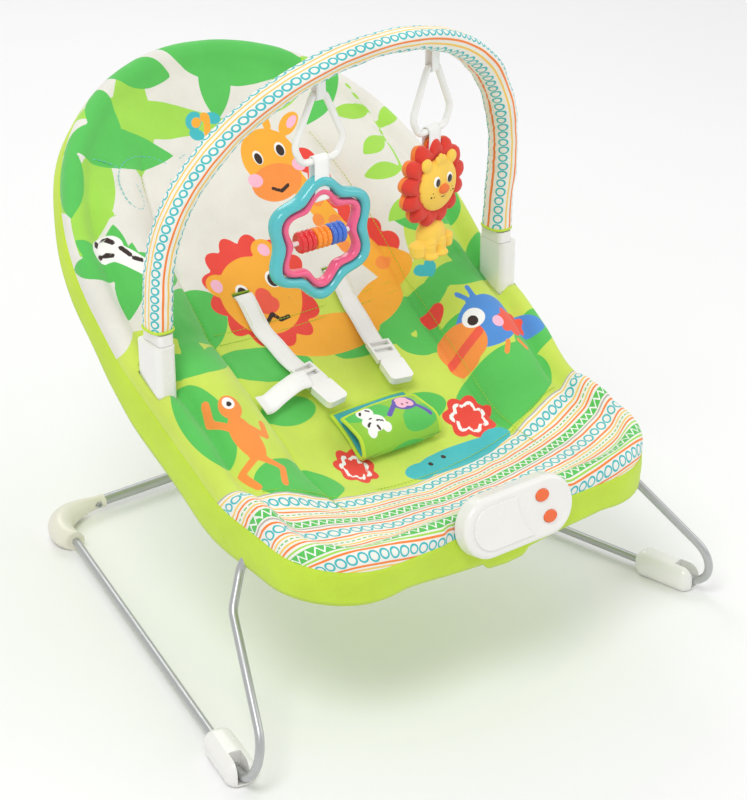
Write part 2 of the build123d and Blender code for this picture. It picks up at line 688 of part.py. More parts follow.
def bolster_section(y, rise):
    """A rounded ridge that lies on the panel near its edge."""
    half = inside_half(y, EDGE_INSET)
    inner, outer = half * 0.62, half - 2
    middle = (inner + outer) / 2
    low = [(x, -cover_depth(x, y) + SOFT_GAP + 0.6) for x in (inner, middle, outer)]
    bottom = ThreePointArc(*low)
    wall_in, wall_out = (inner, low[0][1] + 3), (outer, low[2][1] + 4)
    top = ThreePointArc(wall_out, (middle, rise), wall_in)
    face = make_face([bottom, Line(low[2], wall_out), top, Line(wall_in, low[0])])
    return station_plane(y) * face


BOLSTER_STATIONS = [(-150.0, 6.0), (-110.0, 16.0), (-40.0, 18.0), (30.0, 16.0), (90.0, 12.0), (150.0, 5.0)]


def side_bolster():
    """The padded side of the seat, raised over the panels."""
    return loft([bolster_section(y, rise) for y, rise in BOLSTER_STATIONS], ruled=True)


def edge_binding():
    """The fabric tunnel round the back tube, over the head from socket to socket."""
    path = back_path(BAR_SOCKET_Y + SOCKET_SIZE[1] / 2 + 6)
    return pipe(path, BINDING_R, TUBE_R + SOFT_GAP / 2)


BINDING_START = UNIT_W / 2 + 3.0     # the tunnel begins beside the vibration unit
SKIRT_END = FRONT_CORNER_HALF - FRONT_CORNER_R - 6.0


def front_binding():
    """The fabric tunnel round the front tube, with its hanging skirt, on both sides of the unit."""
    y, z = FRAME_FRONT
    corner = (side_x(y), y, z)
    path = FilletPolyline(side_point(FRONT_CLIP_Y - 18), corner, (BINDING_START, y, z), radius=FRONT_CORNER_R)
    tunnel = pipe(path, BINDING_R, TUBE_R + SOFT_GAP / 2)
    outline = Polygon((y - 5, z - 6.5), (y + 6.5, z - 5), (y + 26, z - 28), (y + 19, z - 31), align=None)
    skirt = extrude(Plane.YZ.offset(BINDING_START) * outline, amount=SKIRT_END - BINDING_START, dir=X_AXIS)
    right = tunnel + skirt
    return Compound([right, mirrored(right)])


# ---------------------------------------------------------------- harness
def strap_points(side):
    """The strap's route from behind its slot to its buckle."""
    end_x, end_y = BUCKLE_END
    route = [(SLOT_X, SLOT_Y), (SLOT_X - 1, FRAME_HIP[0]), (SLOT_X - 5, 0.0), (-end_x, end_y)]
    points = [on_cover(x, y, STRAP_LIFT) for x, y in route[:-1]]
    points.append(on_cover(*route[-1], BUCKLE_LIFT))
    points.insert(0, on_cover(SLOT_X, SLOT_Y, -PAD - 6))
    return [Vector(side * p.X, p.Y, p.Z) for p in points]


def harness_strap():
    strap = None
    points = strap_points(1)
    for a, b in zip(points, points[1:]):
        run = b - a
        plane = Plane(origin=a + run * 0.5, x_dir=run, z_dir=run.cross(Vector(*X_AXIS)))
        piece = plane * Box(run.length + STRAP_T, STRAP_W, STRAP_T)
        strap = piece if strap is None else strap + piece
    return strap


def buckle_plane():
    """Right buckle: x along the strap towards its slot, z out of the cover."""
    a, b = strap_points(1)[-1], strap_points(1)[-2]
    return Plane(origin=a, x_dir=b - a, z_dir=(a - b).cross(Vector(*X_AXIS)))


def buckle_socket():
    """The half of the buckle that is sewn to the crotch pad."""
    length, width, thick = BUCKLE_SIZE
    body = Pos(-length / 2 - 2, 0, 2.5) * Box(length, width, thick)
    body = fillet(body.edges().filter_by(Axis.Z), 5.0)
    body -= Pos(-length / 2 + 5, 0, 2.5) * Box(length - 4, width - 5, thick - 3)
    return buckle_plane().location * body


def buckle_tongue():
    """The half of the buckle on the strap: a frame with two bars and a tongue in the socket."""
    length, width, thick = BUCKLE_SIZE
    frame_part = Pos(11, 0, 2.5) * (Box(25, width, 5) - Pos(3.5, 0, 0) * Box(14, width - 5, 9))
    frame_part += Pos(14.5, 0, 4.0) * Box(3.0, width, 2.0)
    tongue = Pos(-8.5, 0, 2.5) * Box(16, width - 5.6, thick - 3.6)
    whole = frame_part + tongue
    whole -= Pos(20, 0, -1.5) * Box(60, STRAP_W + 0.8, 2 * (STRAP_T + 1.5))
    return buckle_plane().location * whole


def crotch_pad():
    """A folded pad: its lower layer lies on the seat, curls up in front and folds back on top."""
    gap = PAD_T / 2 + SOFT_GAP + 2.0
    rear = on_cover(0, -58.0, gap)
    front = on_cover(0, -104.0, gap)
    top_front = Vector(0, front.Y - 2, front.Z + 17)
    top_rear = Vector(0, -72.0, front.Z + 25)
    curl = Vector(0, front.Y - 13, front.Z + 7)
    plane = Plane.YZ

    def flat(p):
        return (p.Y, p.Z)

    path = FilletPolyline(flat(rear), flat(front), flat(curl), flat(top_front), flat(top_rear),
                          radius=[3.0, 4.0, 4.0])
    profile = trace(path, line_width=PAD_T)
    return extrude(plane * profile, amount=PAD_W / 2, both=True)


# ---------------------------------------------------------------- vibration unit
def unit_plane():
    """Local axes of the vibration unit: x across, y up its face, z out of its face."""
    tilt = radians(UNIT_TILT)
    up = Vector(0, sin(tilt), cos(tilt))
    out = Vector(0, -cos(tilt), sin(tilt))
    tube_depth = UNIT_FRONT_DEPTH + UNIT_REAR_DEPTH + TUBE_R + 0.6
    origin = Vector(0, *FRAME_FRONT) - up * UNIT_TUBE_V + out * tube_depth
    return Plane(origin=origin, x_dir=X_AXIS, z_dir=out)


UNIT = unit_plane().location
UNIT_BACK = -UNIT_FRONT_DEPTH - UNIT_REAR_DEPTH
SCREW_POSTS = [(8.0, 20.5), (8.0, -20.5)]
CLIP_SCREWS = [(-13.0, UNIT_TUBE_V + 11.0), (13.0, UNIT_TUBE_V + 11.0)]


def stadium(inset, low, high):
    face = Pos(0, 0, low) * SlotOverall(UNIT_W - 2 * inset, UNIT_H - 2 * inset)
    return extrude(face, amount=high - low)


DOOR_EDGE_X = (-2.0, 1.0, 12.0)     # door's right edge at its top, its waist and its foot


def door_region(inset):
    """The battery door: a round left end and a right edge that curves round the buttons."""
    r = UNIT_H / 2 - inset
    left = -(UNIT_W - UNIT_H) / 2
    top_x, waist_x, low_x = (x + DOOR_EDGE_INSET - inset for x in DOOR_EDGE_X)
    edges = [
        ThreePointArc((left, r), (left - r, 0), (left, -r)),
        Line((left, -r), (low_x, -r)),
        ThreePointArc((low_x, -r), (waist_x, -r * 0.2), (top_x, r)),
        Line((top_x, r), (left, r)),
    ]
    return make_face(edges)


def unit_front_cover():
    shell = stadium(0, -UNIT_FRONT_DEPTH, 0)
    shell = fillet(shell.edges().group_by(Axis.Z)[-1], 5.0)
    shell -= stadium(UNIT_WALL, -UNIT_FRONT_DEPTH - 1, -UNIT_WALL)
    for x, y in BUTTONS.values():
        hole = Pos(x, y, -5) * Ellipse(BUTTON_RX + 0.2, BUTTON_RY + 0.2)
        shell -= extrude(hole, amount=10)
    shell -= extrude(Pos(0, 0, -5) * door_region(DOOR_HOLE_INSET), amount=10)
    for x, y in SCREW_POSTS:
        post = Pos(x, y, -UNIT_FRONT_DEPTH / 2 - 0.5) * Cylinder(3.2, UNIT_FRONT_DEPTH - 1.4)
        shell += post
        shell -= Pos(x, y, -UNIT_FRONT_DEPTH) * Cylinder(SCREW_R, 12)
    return UNIT * shell


def unit_rear_housing():
    shell = stadium(0, UNIT_BACK, -UNIT_FRONT_DEPTH - 0.05)
    shell = fillet(shell.edges().group_by(Axis.Z)[0], 4.0)
    shell -= stadium(UNIT_WALL, UNIT_BACK + UNIT_WALL, 0)
    half_depth = TUBE_R + 0.5
    saddle = Pos(0, UNIT_TUBE_V + 3, UNIT_BACK - half_depth / 2 + 0.2) * Box(34, 24, half_depth + 0.4)
    shell += saddle
    tube = Pos(0, UNIT_TUBE_V, UNIT_BACK - half_depth - 0.1) * Rot(0, 90, 0) * Cylinder(TUBE_R, 60)
    shell -= tube
    for x, y in SCREW_POSTS:
        post = Pos(x, y, UNIT_BACK / 2 - UNIT_FRONT_DEPTH / 2) * Cylinder(4.4, UNIT_REAR_DEPTH - 1)
        shell += post & stadium(1, UNIT_BACK, -UNIT_FRONT_DEPTH - 0.05)
        shell -= Pos(x, y, UNIT_BACK) * Cylinder(SCREW_R, 60)
        shell -= Pos(x, y, UNIT_BACK) * Cylinder(SCREW_HEAD_R + 0.2, 5)
    for x, y in CLIP_SCREWS:
        shell -= Pos(x, y, UNIT_BACK - 3) * Cylinder(SCREW_R, 12)
    return UNIT * shell


def mounting_clip():
    """The rear half of the clamp that holds the unit on the front tube."""
    front_face = UNIT_BACK - TUBE_R - 0.7
    block = Pos(0, UNIT_TUBE_V + 3, front_face - 4) * Box(34, 24, 8)
    block = fillet(block.edges().filter_by(Axis.Z), 4.0)
    tube = Pos(0, UNIT_TUBE_V, UNIT_BACK - TUBE_R - 0.6) * Rot(0, 90, 0) * Cylinder(TUBE_R, 60)
    block -= tube
    for x, y in CLIP_SCREWS:
        block -= Pos(x, y, front_face) * Cylinder(SCREW_R, 60)
    return UNIT * block


def housing_screws():
    """Four equal screws: two join the housing's halves and two hold the clip."""
    screws = []
    for x, y in SCREW_POSTS:
        screws.append(screw((x, y, UNIT_BACK + 2.5), (0, 0, 1), 9.0))
    for x, y in CLIP_SCREWS:
        screws.append(screw((x, y, UNIT_BACK - TUBE_R - 8.7), (0, 0, 1), 9.0))
    return Compound([UNIT * s for s in screws])


def battery_door():
    """The raised door on the left of the face, with a lip that drops into the opening."""
    plate = extrude(Pos(0, 0, 0.05) * door_region(DOOR_EDGE_INSET), amount=1.5)
    plate = chamfer(plate.edges().group_by(Axis.Z)[-1], 0.5)
    hole = door_region(DOOR_HOLE_INSET)
    rim = offset(hole, -0.5) - offset(hole, -2.0)
    return UNIT * (plate + extrude(Pos(0, 0, -2.2) * rim, amount=2.4))


def push_button(x, y):
    cap = extrude(Pos(x, y, -3.2) * Ellipse(BUTTON_RX, BUTTON_RY), amount=4.9)
    cap = fillet(cap.edges().group_by(Axis.Z)[-1], 1.3)
    flange = extrude(Pos(x, y, -3.4) * Ellipse(BUTTON_RX + 1.6, BUTTON_RY + 1.6), amount=1.2)
    return UNIT * (cap + flange)


CELL_X = -26.5
CELL_Z = -10.2


def battery_cells():
    cells = []
    for y, flip in ((7.6, 1), (-7.6, -1)):
        body = Cylinder(CELL_R, CELL_L - 1.5) + Pos(0, 0, (CELL_L - 1.5) / 2 + 0.7) * Cylinder(2.7, 1.4)
        cells.append(UNIT * (Pos(CELL_X, y, CELL_Z) * Rot(0, 90 * flip, 0) * body))
    return Compound(cells)


def battery_contacts():
    """Spring plates at both ends of the cells."""
    plates = []
    for x in (CELL_X - CELL_L / 2 - 1.2, CELL_X + CELL_L / 2 + 1.2):
        plates.append(UNIT * (Pos(x, 0, CELL_Z) * Box(0.8, 24, 9)))
    return Compound(plates)


BOARD_Z = -8.6


def circuit_board():
    """The board under the buttons, with a switch for each."""
    board = Pos(26, 1, BOARD_Z) * Box(24, 32, 1.4)
    for x, y in BUTTONS.values():
        board += Pos(x, y, BOARD_Z + 1.6) * Box(5.4, 5.4, 2.0)
    for x, y in SCREW_POSTS:
        board -= Pos(x, y, BOARD_Z) * Cylinder(3.6, 6)
    return UNIT * board


MOTOR_X = 46.5
MOTOR_Z = -10.6
MOTOR_R = 5.4


def motor_case():
    case = Pos(MOTOR_X, 5, MOTOR_Z) * Rot(90, 0, 0) * Cylinder(MOTOR_R, 13)
    return UNIT * (case - Pos(MOTOR_X, 0, MOTOR_Z) * Rot(90, 0, 0) * Cylinder(1.0 + FIT, 60))


def motor_weight():
    """The motor's shaft with its eccentric weight."""
    shaft = Pos(MOTOR_X, -2.5, MOTOR_Z) * Rot(90, 0, 0) * Cylinder(1.0, 26)
    weight = Pos(MOTOR_X, -8, MOTOR_Z) * Rot(90, 0, 0) * (Cylinder(5.4, 7) - Pos(0, 10.8, 0) * Box(20, 20, 20))
    return UNIT * (shaft + weight)


# ---------------------------------------------------------------- all sub-parts
def pair(name, right_piece):
    """A right-hand piece and its mirrored twin."""
    return {name + "_right": right_piece, name + "_left": mirrored(right_piece)}


def all_parts():
    parts = {}
    for name, build in {
        "base_rail": base_rail, "front_foot": front_foot, "rear_corner": rear_corner, "leg": leg,
        "side_joint": side_joint, "toy_bar_socket": toy_bar_socket, "side_bolster": side_bolster,
        "harness_strap": harness_strap, "buckle_socket": buckle_socket,
        "buckle_tongue": buckle_tongue,
    }.items():
        parts |= pair(name, build())
    clip = front_tube_clip()
    parts |= pair("front_tube_clip", clip)
    for build in (
        rear_cross_tube, rear_corner_screws, back_tube, front_tube, seat_frame_screws,
        seat_panel, back_panel, edge_binding, front_binding, crotch_pad,
        unit_front_cover, unit_rear_housing, mounting_clip, housing_screws, battery_door,
        battery_cells, battery_contacts, circuit_board, motor_case, motor_weight,
        toy_bar_core, toy_bar_sleeve, toy_loops,
        rattle_axle, rattle_tape, lion_mane, lion_face, lion_body, lion_tape,
    ):
        parts[build.__name__] = build()
    parts["toy_link_left"] = toy_link(LEFT_HANG)
    parts["toy_link_right"] = toy_link(RIGHT_HANG)
    parts["rattle_outer_ring"] = rattle_ring(RING_OUTER)
    parts["rattle_inner_ring"] = rattle_ring(RING_INNER)
    for name, x in BEADS.items():
        parts[name] = bead(x)
    for name, at in BUTTONS.items():
        parts[name] = push_button(*at)
    return parts


# The origin's y in the dimensions above: half way from the unit's face to the backs of the horns
UNIT_FOOT_Y = UNIT.position.Y - UNIT_H / 2 * sin(radians(UNIT_TILT))
ORIGIN_Y = (UNIT_FOOT_Y + CROSS_Y + 10.0) / 2

if __name__ == "__main__":
    os.makedirs("parts", exist_ok=True)
    for name, shape in all_parts().items():
        export_step(Pos(0, -ORIGIN_Y, 0) * shape, f"parts/{name}.step")
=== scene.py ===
"""Baby bouncer seat: looks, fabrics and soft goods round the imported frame. Metres, Z up."""
import math
from functools import partial
from math import cos, pi, radians, sin

import bmesh
import bpy
import numpy as np
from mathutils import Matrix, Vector, noise


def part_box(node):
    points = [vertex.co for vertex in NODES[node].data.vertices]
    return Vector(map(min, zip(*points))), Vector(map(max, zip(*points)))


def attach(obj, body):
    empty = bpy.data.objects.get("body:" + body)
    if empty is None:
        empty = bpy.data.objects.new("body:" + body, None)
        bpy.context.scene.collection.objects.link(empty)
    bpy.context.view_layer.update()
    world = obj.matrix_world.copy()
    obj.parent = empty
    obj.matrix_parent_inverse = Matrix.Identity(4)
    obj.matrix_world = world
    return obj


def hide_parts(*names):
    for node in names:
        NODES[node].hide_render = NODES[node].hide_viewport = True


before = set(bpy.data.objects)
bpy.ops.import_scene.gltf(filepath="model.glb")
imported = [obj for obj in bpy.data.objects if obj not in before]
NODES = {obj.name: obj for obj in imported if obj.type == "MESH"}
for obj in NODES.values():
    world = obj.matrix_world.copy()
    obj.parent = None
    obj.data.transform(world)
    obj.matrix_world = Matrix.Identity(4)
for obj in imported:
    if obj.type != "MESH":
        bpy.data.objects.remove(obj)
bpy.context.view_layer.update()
MM = 0.001

# ------------------------------------------------------------------ the seat frame's line
TUBE_R = 5.25 * MM
FRONT_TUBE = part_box("front_tube")
FRONT_Y = FRONT_TUBE[0][1] + TUBE_R          # axis of the front tube
FRONT_Z = FRONT_TUBE[0][2] + TUBE_R
HIP_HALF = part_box("back_tube")[1][0] - TUBE_R    # half width between the tubes' axes
FRONT_HALF = HIP_HALF - 11 * MM
KNEE_RUN = (134.5 * MM, 13.9 * MM)           # from the front tube to the first bend, in y and z
HIP_RUN = (140.0 * MM, 82.0 * MM)
BACK_SLOPE = radians(40.4)
BACK_RUN = 400 * MM
KNEE_S = math.hypot(*KNEE_RUN)               # lengths along the line from the front tube
HIP_S = KNEE_S + math.hypot(*HIP_RUN)
ARCH_S = HIP_S + 41 * MM / cos(BACK_SLOPE)
HEAD_RISE = 229 * MM
HEAD_SIDE_R = 280 * MM
CORNER_R = 64 * MM
BEND_SOFTNESS = 18                           # samples over which a bend is rounded
STEP = 1 * MM

RIM_IN = 24 * MM                             # the cover's rim reaches this far inside the tube
EDGE_INSET = 15.5 * MM
PAD = 9 * MM
ROWS = 250
COLUMNS = 135


def frame_line():
    """Arc length, y, z and slope along the seat's side view, rounded at its bends."""
    front_slope = math.atan2(KNEE_RUN[1], KNEE_RUN[0])
    ahead = 0.1
    ys = [FRONT_Y - ahead * cos(front_slope), FRONT_Y + KNEE_RUN[0]]
    zs = [FRONT_Z - ahead * sin(front_slope), FRONT_Z + KNEE_RUN[1]]
    ys.append(ys[1] + HIP_RUN[0])
    zs.append(zs[1] + HIP_RUN[1])
    ys.append(ys[2] + BACK_RUN * cos(BACK_SLOPE))
    zs.append(zs[2] + BACK_RUN * sin(BACK_SLOPE))
    stations = [-ahead, KNEE_S, HIP_S, HIP_S + BACK_RUN]
    s = np.arange(-ahead, HIP_S + BACK_RUN, STEP)
    y, z = np.interp(s, stations, ys), np.interp(s, stations, zs)
    kernel = np.ones(2 * BEND_SOFTNESS + 1) / (2 * BEND_SOFTNESS + 1)
    inner = slice(BEND_SOFTNESS, len(s) - BEND_SOFTNESS)
    y, z = np.convolve(y, kernel, "valid"), np.convolve(z, kernel, "valid")
    s = s[inner]
    slope = np.arctan2(np.gradient(z), np.gradient(y))
    return s, y, z, slope


LINE_S, LINE_Y, LINE_Z, LINE_SLOPE = frame_line()


def over_frame(x, s, h):
    """Points at x, at arc length s, and at height h over the line of the tubes' axes."""
    x, s, h = np.broadcast_arrays(np.asarray(x, float), np.asarray(s, float), np.asarray(h, float))
    slope = np.interp(s, LINE_S, LINE_SLOPE)
    y = np.interp(s, LINE_S, LINE_Y) - np.sin(slope) * h
    z = np.interp(s, LINE_S, LINE_Z) + np.cos(slope) * h
    return np.stack([x, y, z], axis=-1)


def side_half(s):
    """Half width between the side tubes' axes at arc length s, below the head arch."""
    start = 75 * MM
    return FRONT_HALF + np.clip((s - start) / (HIP_S - start), 0, 1) * (HIP_HALF - FRONT_HALF)


def outline():
    """Right half of the tubes' outline, from the front tube to the top of the head: x, s, normals."""
    out, up = HEAD_SIDE_R - HIP_HALF, HEAD_RISE - HEAD_SIDE_R
    gap = (out**2 + up**2) / (-2 * up)
    top_r, centre = HEAD_SIDE_R - gap, gap + up
    flank = math.atan2(centre, out)
    corner_x = FRONT_HALF - CORNER_R
    a = np.radians(np.linspace(-90, 0, 60))
    xs, ss = [corner_x + CORNER_R * np.cos(a)], [CORNER_R + CORNER_R * np.sin(a)]
    side = np.linspace(CORNER_R, ARCH_S, 120)[1:]
    xs.append(side_half(side))
    ss.append(side)
    a = np.linspace(0, flank, 60)[1:]
    xs.append(HIP_HALF - HEAD_SIDE_R + HEAD_SIDE_R * np.cos(a))
    ss.append(ARCH_S + HEAD_SIDE_R * np.sin(a))
    a = np.linspace(flank, pi / 2, 120)[1:]
    xs.append(top_r * np.cos(a))
    ss.append(ARCH_S + centre + top_r * np.sin(a))
    x, s = np.concatenate(xs), np.concatenate(ss)
    run = np.concatenate([[0], np.cumsum(np.hypot(np.diff(x), np.diff(s)))])
    even = np.linspace(0, run[-1], ROWS)
    x, s = np.interp(even, run, x), np.interp(even, run, s)
    tx, ts = np.gradient(x), np.gradient(s)
    length = np.hypot(tx, ts)
    nx, ns = ts / length, -tx / length
    nx[0], ns[0] = 0.0, -1.0
    nx[-1], ns[-1] = 0.0, 1.0
    return x, s, nx, ns


OUT_X, OUT_S, OUT_NX, OUT_NS = outline()

SAG = ((0, 0.5), (17, 2), (40, 9), (85, 20), (135, 25), (216, 26), (298, 26), (376, 25), (455, 20),
       (521, 12), (559, 4), (590, 0))
BOLSTER = ((92, 0), (125, 5), (168, 13), (216, 17), (297, 15), (376, 11), (455, 5), (500, 0))
BOLSTER_INNER = 0.60                         # the bolster's inner seam, as a share of the half width

# The clips and the side joints that the cover passes over: x, s, half width, half length, rise
LUMPS = ((187, 100, 13, 24, 6), (191, 207, 17, 38, 4.5))


def over_joints(x, s):
    """How far the cover rises over the clips and the joints of the two tubes."""
    across, run = np.abs(x) / MM, s / MM
    return sum(rise * MM * np.exp(-(((across - at_x) / half_x) ** 4) - ((run - at_s) / half_s) ** 4)
               for at_x, at_s, half_x, half_s, rise in LUMPS)


def along(table, s):
    """A table of (arc length, value) in millimetres, read at s in metres."""
    return np.interp(s / MM, [p[0] for p in table], [p[1] for p in table]) * MM


def panel_half(s):
    """Half width of the padded panel at arc length s."""
    return np.interp(s, OUT_S - OUT_NS * EDGE_INSET, OUT_X - OUT_NX * EDGE_INSET)


def smooth(edge0, edge1, value):
    t = np.clip((value - edge0) / (edge1 - edge0), 0, 1)
    return t * t * (3 - 2 * t)


def cover_height(x, s):
    """Height of the cover's top over the frame line: the sag, the side bolsters and their seams."""
    half = panel_half(s)
    share = np.clip(np.abs(x) / np.maximum(half, 1 * MM), 0, 1)
    depth = along(SAG, s) * (1 - share**2)
    t = np.clip((share - BOLSTER_INNER) / (1 - BOLSTER_INNER), 0, 1)
    bump = np.clip(1 - (2 * t - 1) ** 2, 0, 1) ** 0.75
    middle_share = (1 + BOLSTER_INNER) / 2
    rise = along(BOLSTER, s)
    lift = (rise + along(SAG, s) * (1 - middle_share**2) * np.clip(rise / (5 * MM), 0, 1)) * bump
    seam = (share - BOLSTER_INNER) * half / (3.2 * MM)
    groove = 2.6 * MM * np.exp(-seam**2) * np.clip(rise / (6 * MM), 0, 1)
    hip = 2.2 * MM * np.exp(-(((s - HIP_S) / (9 * MM)) ** 2)) * (share < BOLSTER_INNER + 0.3)
    band = 1.3 * MM * np.exp(-(((s - band_edge(x)) / (2.6 * MM)) ** 2)) * (1 - smooth(0.93, 1.0, share))
    return lift - depth - groove - hip - band


BAND_S = 96 * MM                             # where the striped band ends on the seat
BAND_BOW = 0.9                               # how much further back it runs at the sides, per metre


def band_edge(x):
    return BAND_S + BAND_BOW * x**2


def cover_point(x, s, lift=0.0):
    """A point lift over the cover's top."""
    return Vector(over_frame(x, s, cover_height(np.asarray(x, float), np.asarray(s, float)) + lift))


# ------------------------------------------------------------------ mesh helpers
def new_object(name, vertices, faces, smooth_faces=True):
    mesh = bpy.data.meshes.new(name)
    mesh.from_pydata([tuple(v) for v in vertices], [], faces)
    mesh.validate()
    mesh.update()
    obj = bpy.data.objects.new(name, mesh)
    bpy.context.scene.collection.objects.link(obj)
    if smooth_faces:
        mesh.polygons.foreach_set("use_smooth", [True] * len(mesh.polygons))
    return obj


def finish_normals(obj, merge=1e-6, drop_loose=False):
    """Merges doubles unless merge is 0, drops loose points if asked, and turns the faces outwards."""
    bm = bmesh.new()
    bm.from_mesh(obj.data)
    if merge:
        bmesh.ops.remove_doubles(bm, verts=bm.verts, dist=merge)
        bmesh.ops.dissolve_degenerate(bm, edges=bm.edges, dist=1e-7)
    if drop_loose:
        bmesh.ops.delete(bm, geom=[v for v in bm.verts if not v.link_faces], context="VERTS")
    bmesh.ops.recalc_face_normals(bm, faces=bm.faces)
    bm.to_mesh(obj.data)
    bm.free()
    obj.data.update()


def apply_modifiers(obj):
    """Turns what the modifiers make into the object's own mesh."""
    depsgraph = bpy.context.evaluated_depsgraph_get()
    made = bpy.data.meshes.new_from_object(obj.evaluated_get(depsgraph))
    old = obj.data
    obj.modifiers.clear()
    if obj.type == "MESH":
        obj.data = made
        bpy.data.meshes.remove(old)
        return obj
    name = obj.name
    obj.name = name + "_line"
    result = bpy.data.objects.new(name, made)
    bpy.context.scene.collection.objects.link(result)
    bpy.data.objects.remove(obj)
    return result


def paint(obj, *materials):
    obj.data.materials.clear()
    for material in materials:
        obj.data.materials.append(material)


def done(obj, body, material, slot, *replaced):
    """Material and body of a finished piece, and hides the parts it replaces. The slot argument is not
    used.
    """
    if material is not None:
        paint(obj, material)
    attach(obj, body)
    if replaced:
        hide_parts(*replaced)
    return obj


def metric_uv(obj, u, v):
    """A UV map in metres from two values per vertex."""
    layer = obj.data.uv_layers.new(name="cloth")
    corner_vertex = np.zeros(len(obj.data.loops), np.int32)
    obj.data.loops.foreach_get("vertex_index", corner_vertex)
    both = np.stack([np.asarray(u)[corner_vertex], np.asarray(v)[corner_vertex]], axis=-1)
    layer.data.foreach_set("uv", both.astype(np.float32).ravel())


def ring_faces(rings, sides, closed=False, along_first=False):
    """Quads between rings of points; closed joins the last ring to the first."""
    faces = []
    for i in range(rings if closed else rings - 1):
        a, b = i * sides, (i + 1) % rings * sides
        for k in range(sides):
            k1 = (k + 1) % sides
            faces.append((a + k, b + k, b + k1, a + k1) if along_first else (a + k, a + k1, b + k1, b + k))
    return faces


def side_name(side):
    return "right" if side > 0 else "left"


def mark_faces(obj, first, last):
    """Gives the faces from first up to last the second material."""
    index = np.zeros(len(obj.data.polygons), np.int32)
    index[first:last] = 1
    obj.data.polygons.foreach_set("material_index", index)


def tube(name, points, radius, closed=False, sides=12, section=None, caps=True):
    """A rod along points; section gives (across, up) offsets in place of a circle."""
    pts = [Vector(p) for p in points]
    count = len(pts)
    if section is None:
        section = [(radius * cos(2 * pi * k / sides), radius * sin(2 * pi * k / sides))
                   for k in range(sides)]
    vertices, side_dir = [], None
    for i, p in enumerate(pts):
        before = pts[(i - 1) % count] if closed or i else p
        after = pts[(i + 1) % count] if closed or i < count - 1 else p
        run = (after - before).normalized()
        if side_dir is None:
            side_dir = run.orthogonal().normalized()
        side_dir = (side_dir - run * side_dir.dot(run)).normalized()
        up = run.cross(side_dir)
        vertices += [p + side_dir * a + up * b for a, b in section]
    n = len(section)
    faces = ring_faces(count, n, closed)
    if caps and not closed:
        faces += [tuple(range(n))[::-1], tuple((count - 1) * n + k for k in range(n))]
    obj = new_object(name, vertices, faces)
    finish_normals(obj)
    return obj


def ribbon(name, centres, acrosses, width, thickness, crown=0.0):
    """A flat strap along centres, with its own direction across at each; UVs in metres."""
    half_w, half_t = width / 2, thickness / 2
    section = [(-half_w, -half_t), (-half_w - 0.2 * MM, 0), (-half_w, half_t), (-half_w / 2, half_t),
               (0, half_t), (half_w / 2, half_t), (half_w, half_t), (half_w + 0.2 * MM, 0),
               (half_w, -half_t), (half_w / 2, -half_t), (0, -half_t), (-half_w / 2, -half_t)]
    n = len(section)
    vertices, us, vs, run = [], [], [], 0.0
    for i, p in enumerate(centres):
        tangent = (centres[min(i + 1, len(centres) - 1)] - centres[max(i - 1, 0)]).normalized()
        across = (acrosses[i] - tangent * acrosses[i].dot(tangent)).normalized()
        up = across.cross(tangent)
        if i:
            run += (p - centres[i - 1]).length
        for a, b in section:
            lift = crown * (1 - (a / half_w) ** 2)
            vertices.append(p + across * a + up * (b + lift))
            us.append(a)
            vs.append(run)
    faces = ring_faces(len(centres), n)
    last = (len(centres) - 1) * n
    faces += [tuple(range(n))[::-1], tuple(last + k for k in range(n))]
    obj = new_object(name, vertices, faces)
    metric_uv(obj, us, vs)
    finish_normals(obj, merge=0)
    return obj


def smooth_line(points, count):
    """Points along a Catmull-Rom curve through the given ones, evenly by parameter."""
    pts = [Vector(p) for p in points]
    pts = [pts[0] * 2 - pts[1]] + pts + [pts[-1] * 2 - pts[-2]]
    spans = len(pts) - 3
    line = []
    for k in range(count):
        at = k / (count - 1) * spans
        i = min(int(at), spans - 1)
        t = at - i
        a, b, c, d = pts[i:i + 4]
        line.append(0.5 * ((2 * b) + (c - a) * t + (2 * a - 5 * b + 4 * c - d) * t**2
                           + (3 * b - a - 3 * c + d) * t**3))
    return line


# ------------------------------------------------------------------ shader building
def linear(r, g, b):
    """A display colour, 0 to 255, as the linear colour that shaders take."""
    def one(c):
        c = c / 255
        return c / 12.92 if c <= 0.04045 else ((c + 0.055) / 1.055) ** 2.4
    return (one(r), one(g), one(b), 1.0)


class Graph:
    """Short ways to add nodes to one tree; a value may be a socket or a number."""

    def __init__(self, tree):
        self.tree = tree

    def node(self, kind, **settings):
        made = self.tree.nodes.new(kind)
        for key, value in settings.items():
            setattr(made, key, value)
        return made

    def put(self, socket, value):
        if isinstance(value, bpy.types.NodeSocket):
            self.tree.links.new(value, socket)
        else:
            socket.default_value = value

    def math(self, operation, a, b=0.0, clamp=False):
        made = self.node("ShaderNodeMath", operation=operation, use_clamp=clamp)
        self.put(made.inputs[0], a)
        self.put(made.inputs[1], b)
        return made.outputs[0]

    def ramp(self, value, low, high, to_low=0.0, to_high=1.0):
        made = self.node("ShaderNodeMapRange", clamp=True)
        for name, v in (("Value", value), ("From Min", low), ("From Max", high),
                        ("To Min", to_low), ("To Max", to_high)):
            self.put(made.inputs[name], v)
        return made.outputs["Result"]

    def mix(self, share, a, b, blend="MIX"):
        made = self.node("ShaderNodeMix", data_type="RGBA", blend_type=blend)
        self.put(made.inputs[0], share)
        self.put(made.inputs[6], a)
        self.put(made.inputs[7], b)
        return made.outputs[2]

    def noise(self, vector, scale, detail=2.0):
        made = self.node("ShaderNodeTexNoise")
        self.put(made.inputs["Vector"], vector)
        made.inputs["Scale"].default_value = scale
        made.inputs["Detail"].default_value = detail
        return made.outputs["Fac"]

    def group(self, tree, **values):
        made = self.node("ShaderNodeGroup", node_tree=tree)
        for name, value in values.items():
            self.put(made.inputs[name.replace("_", " ")], value)
        return made


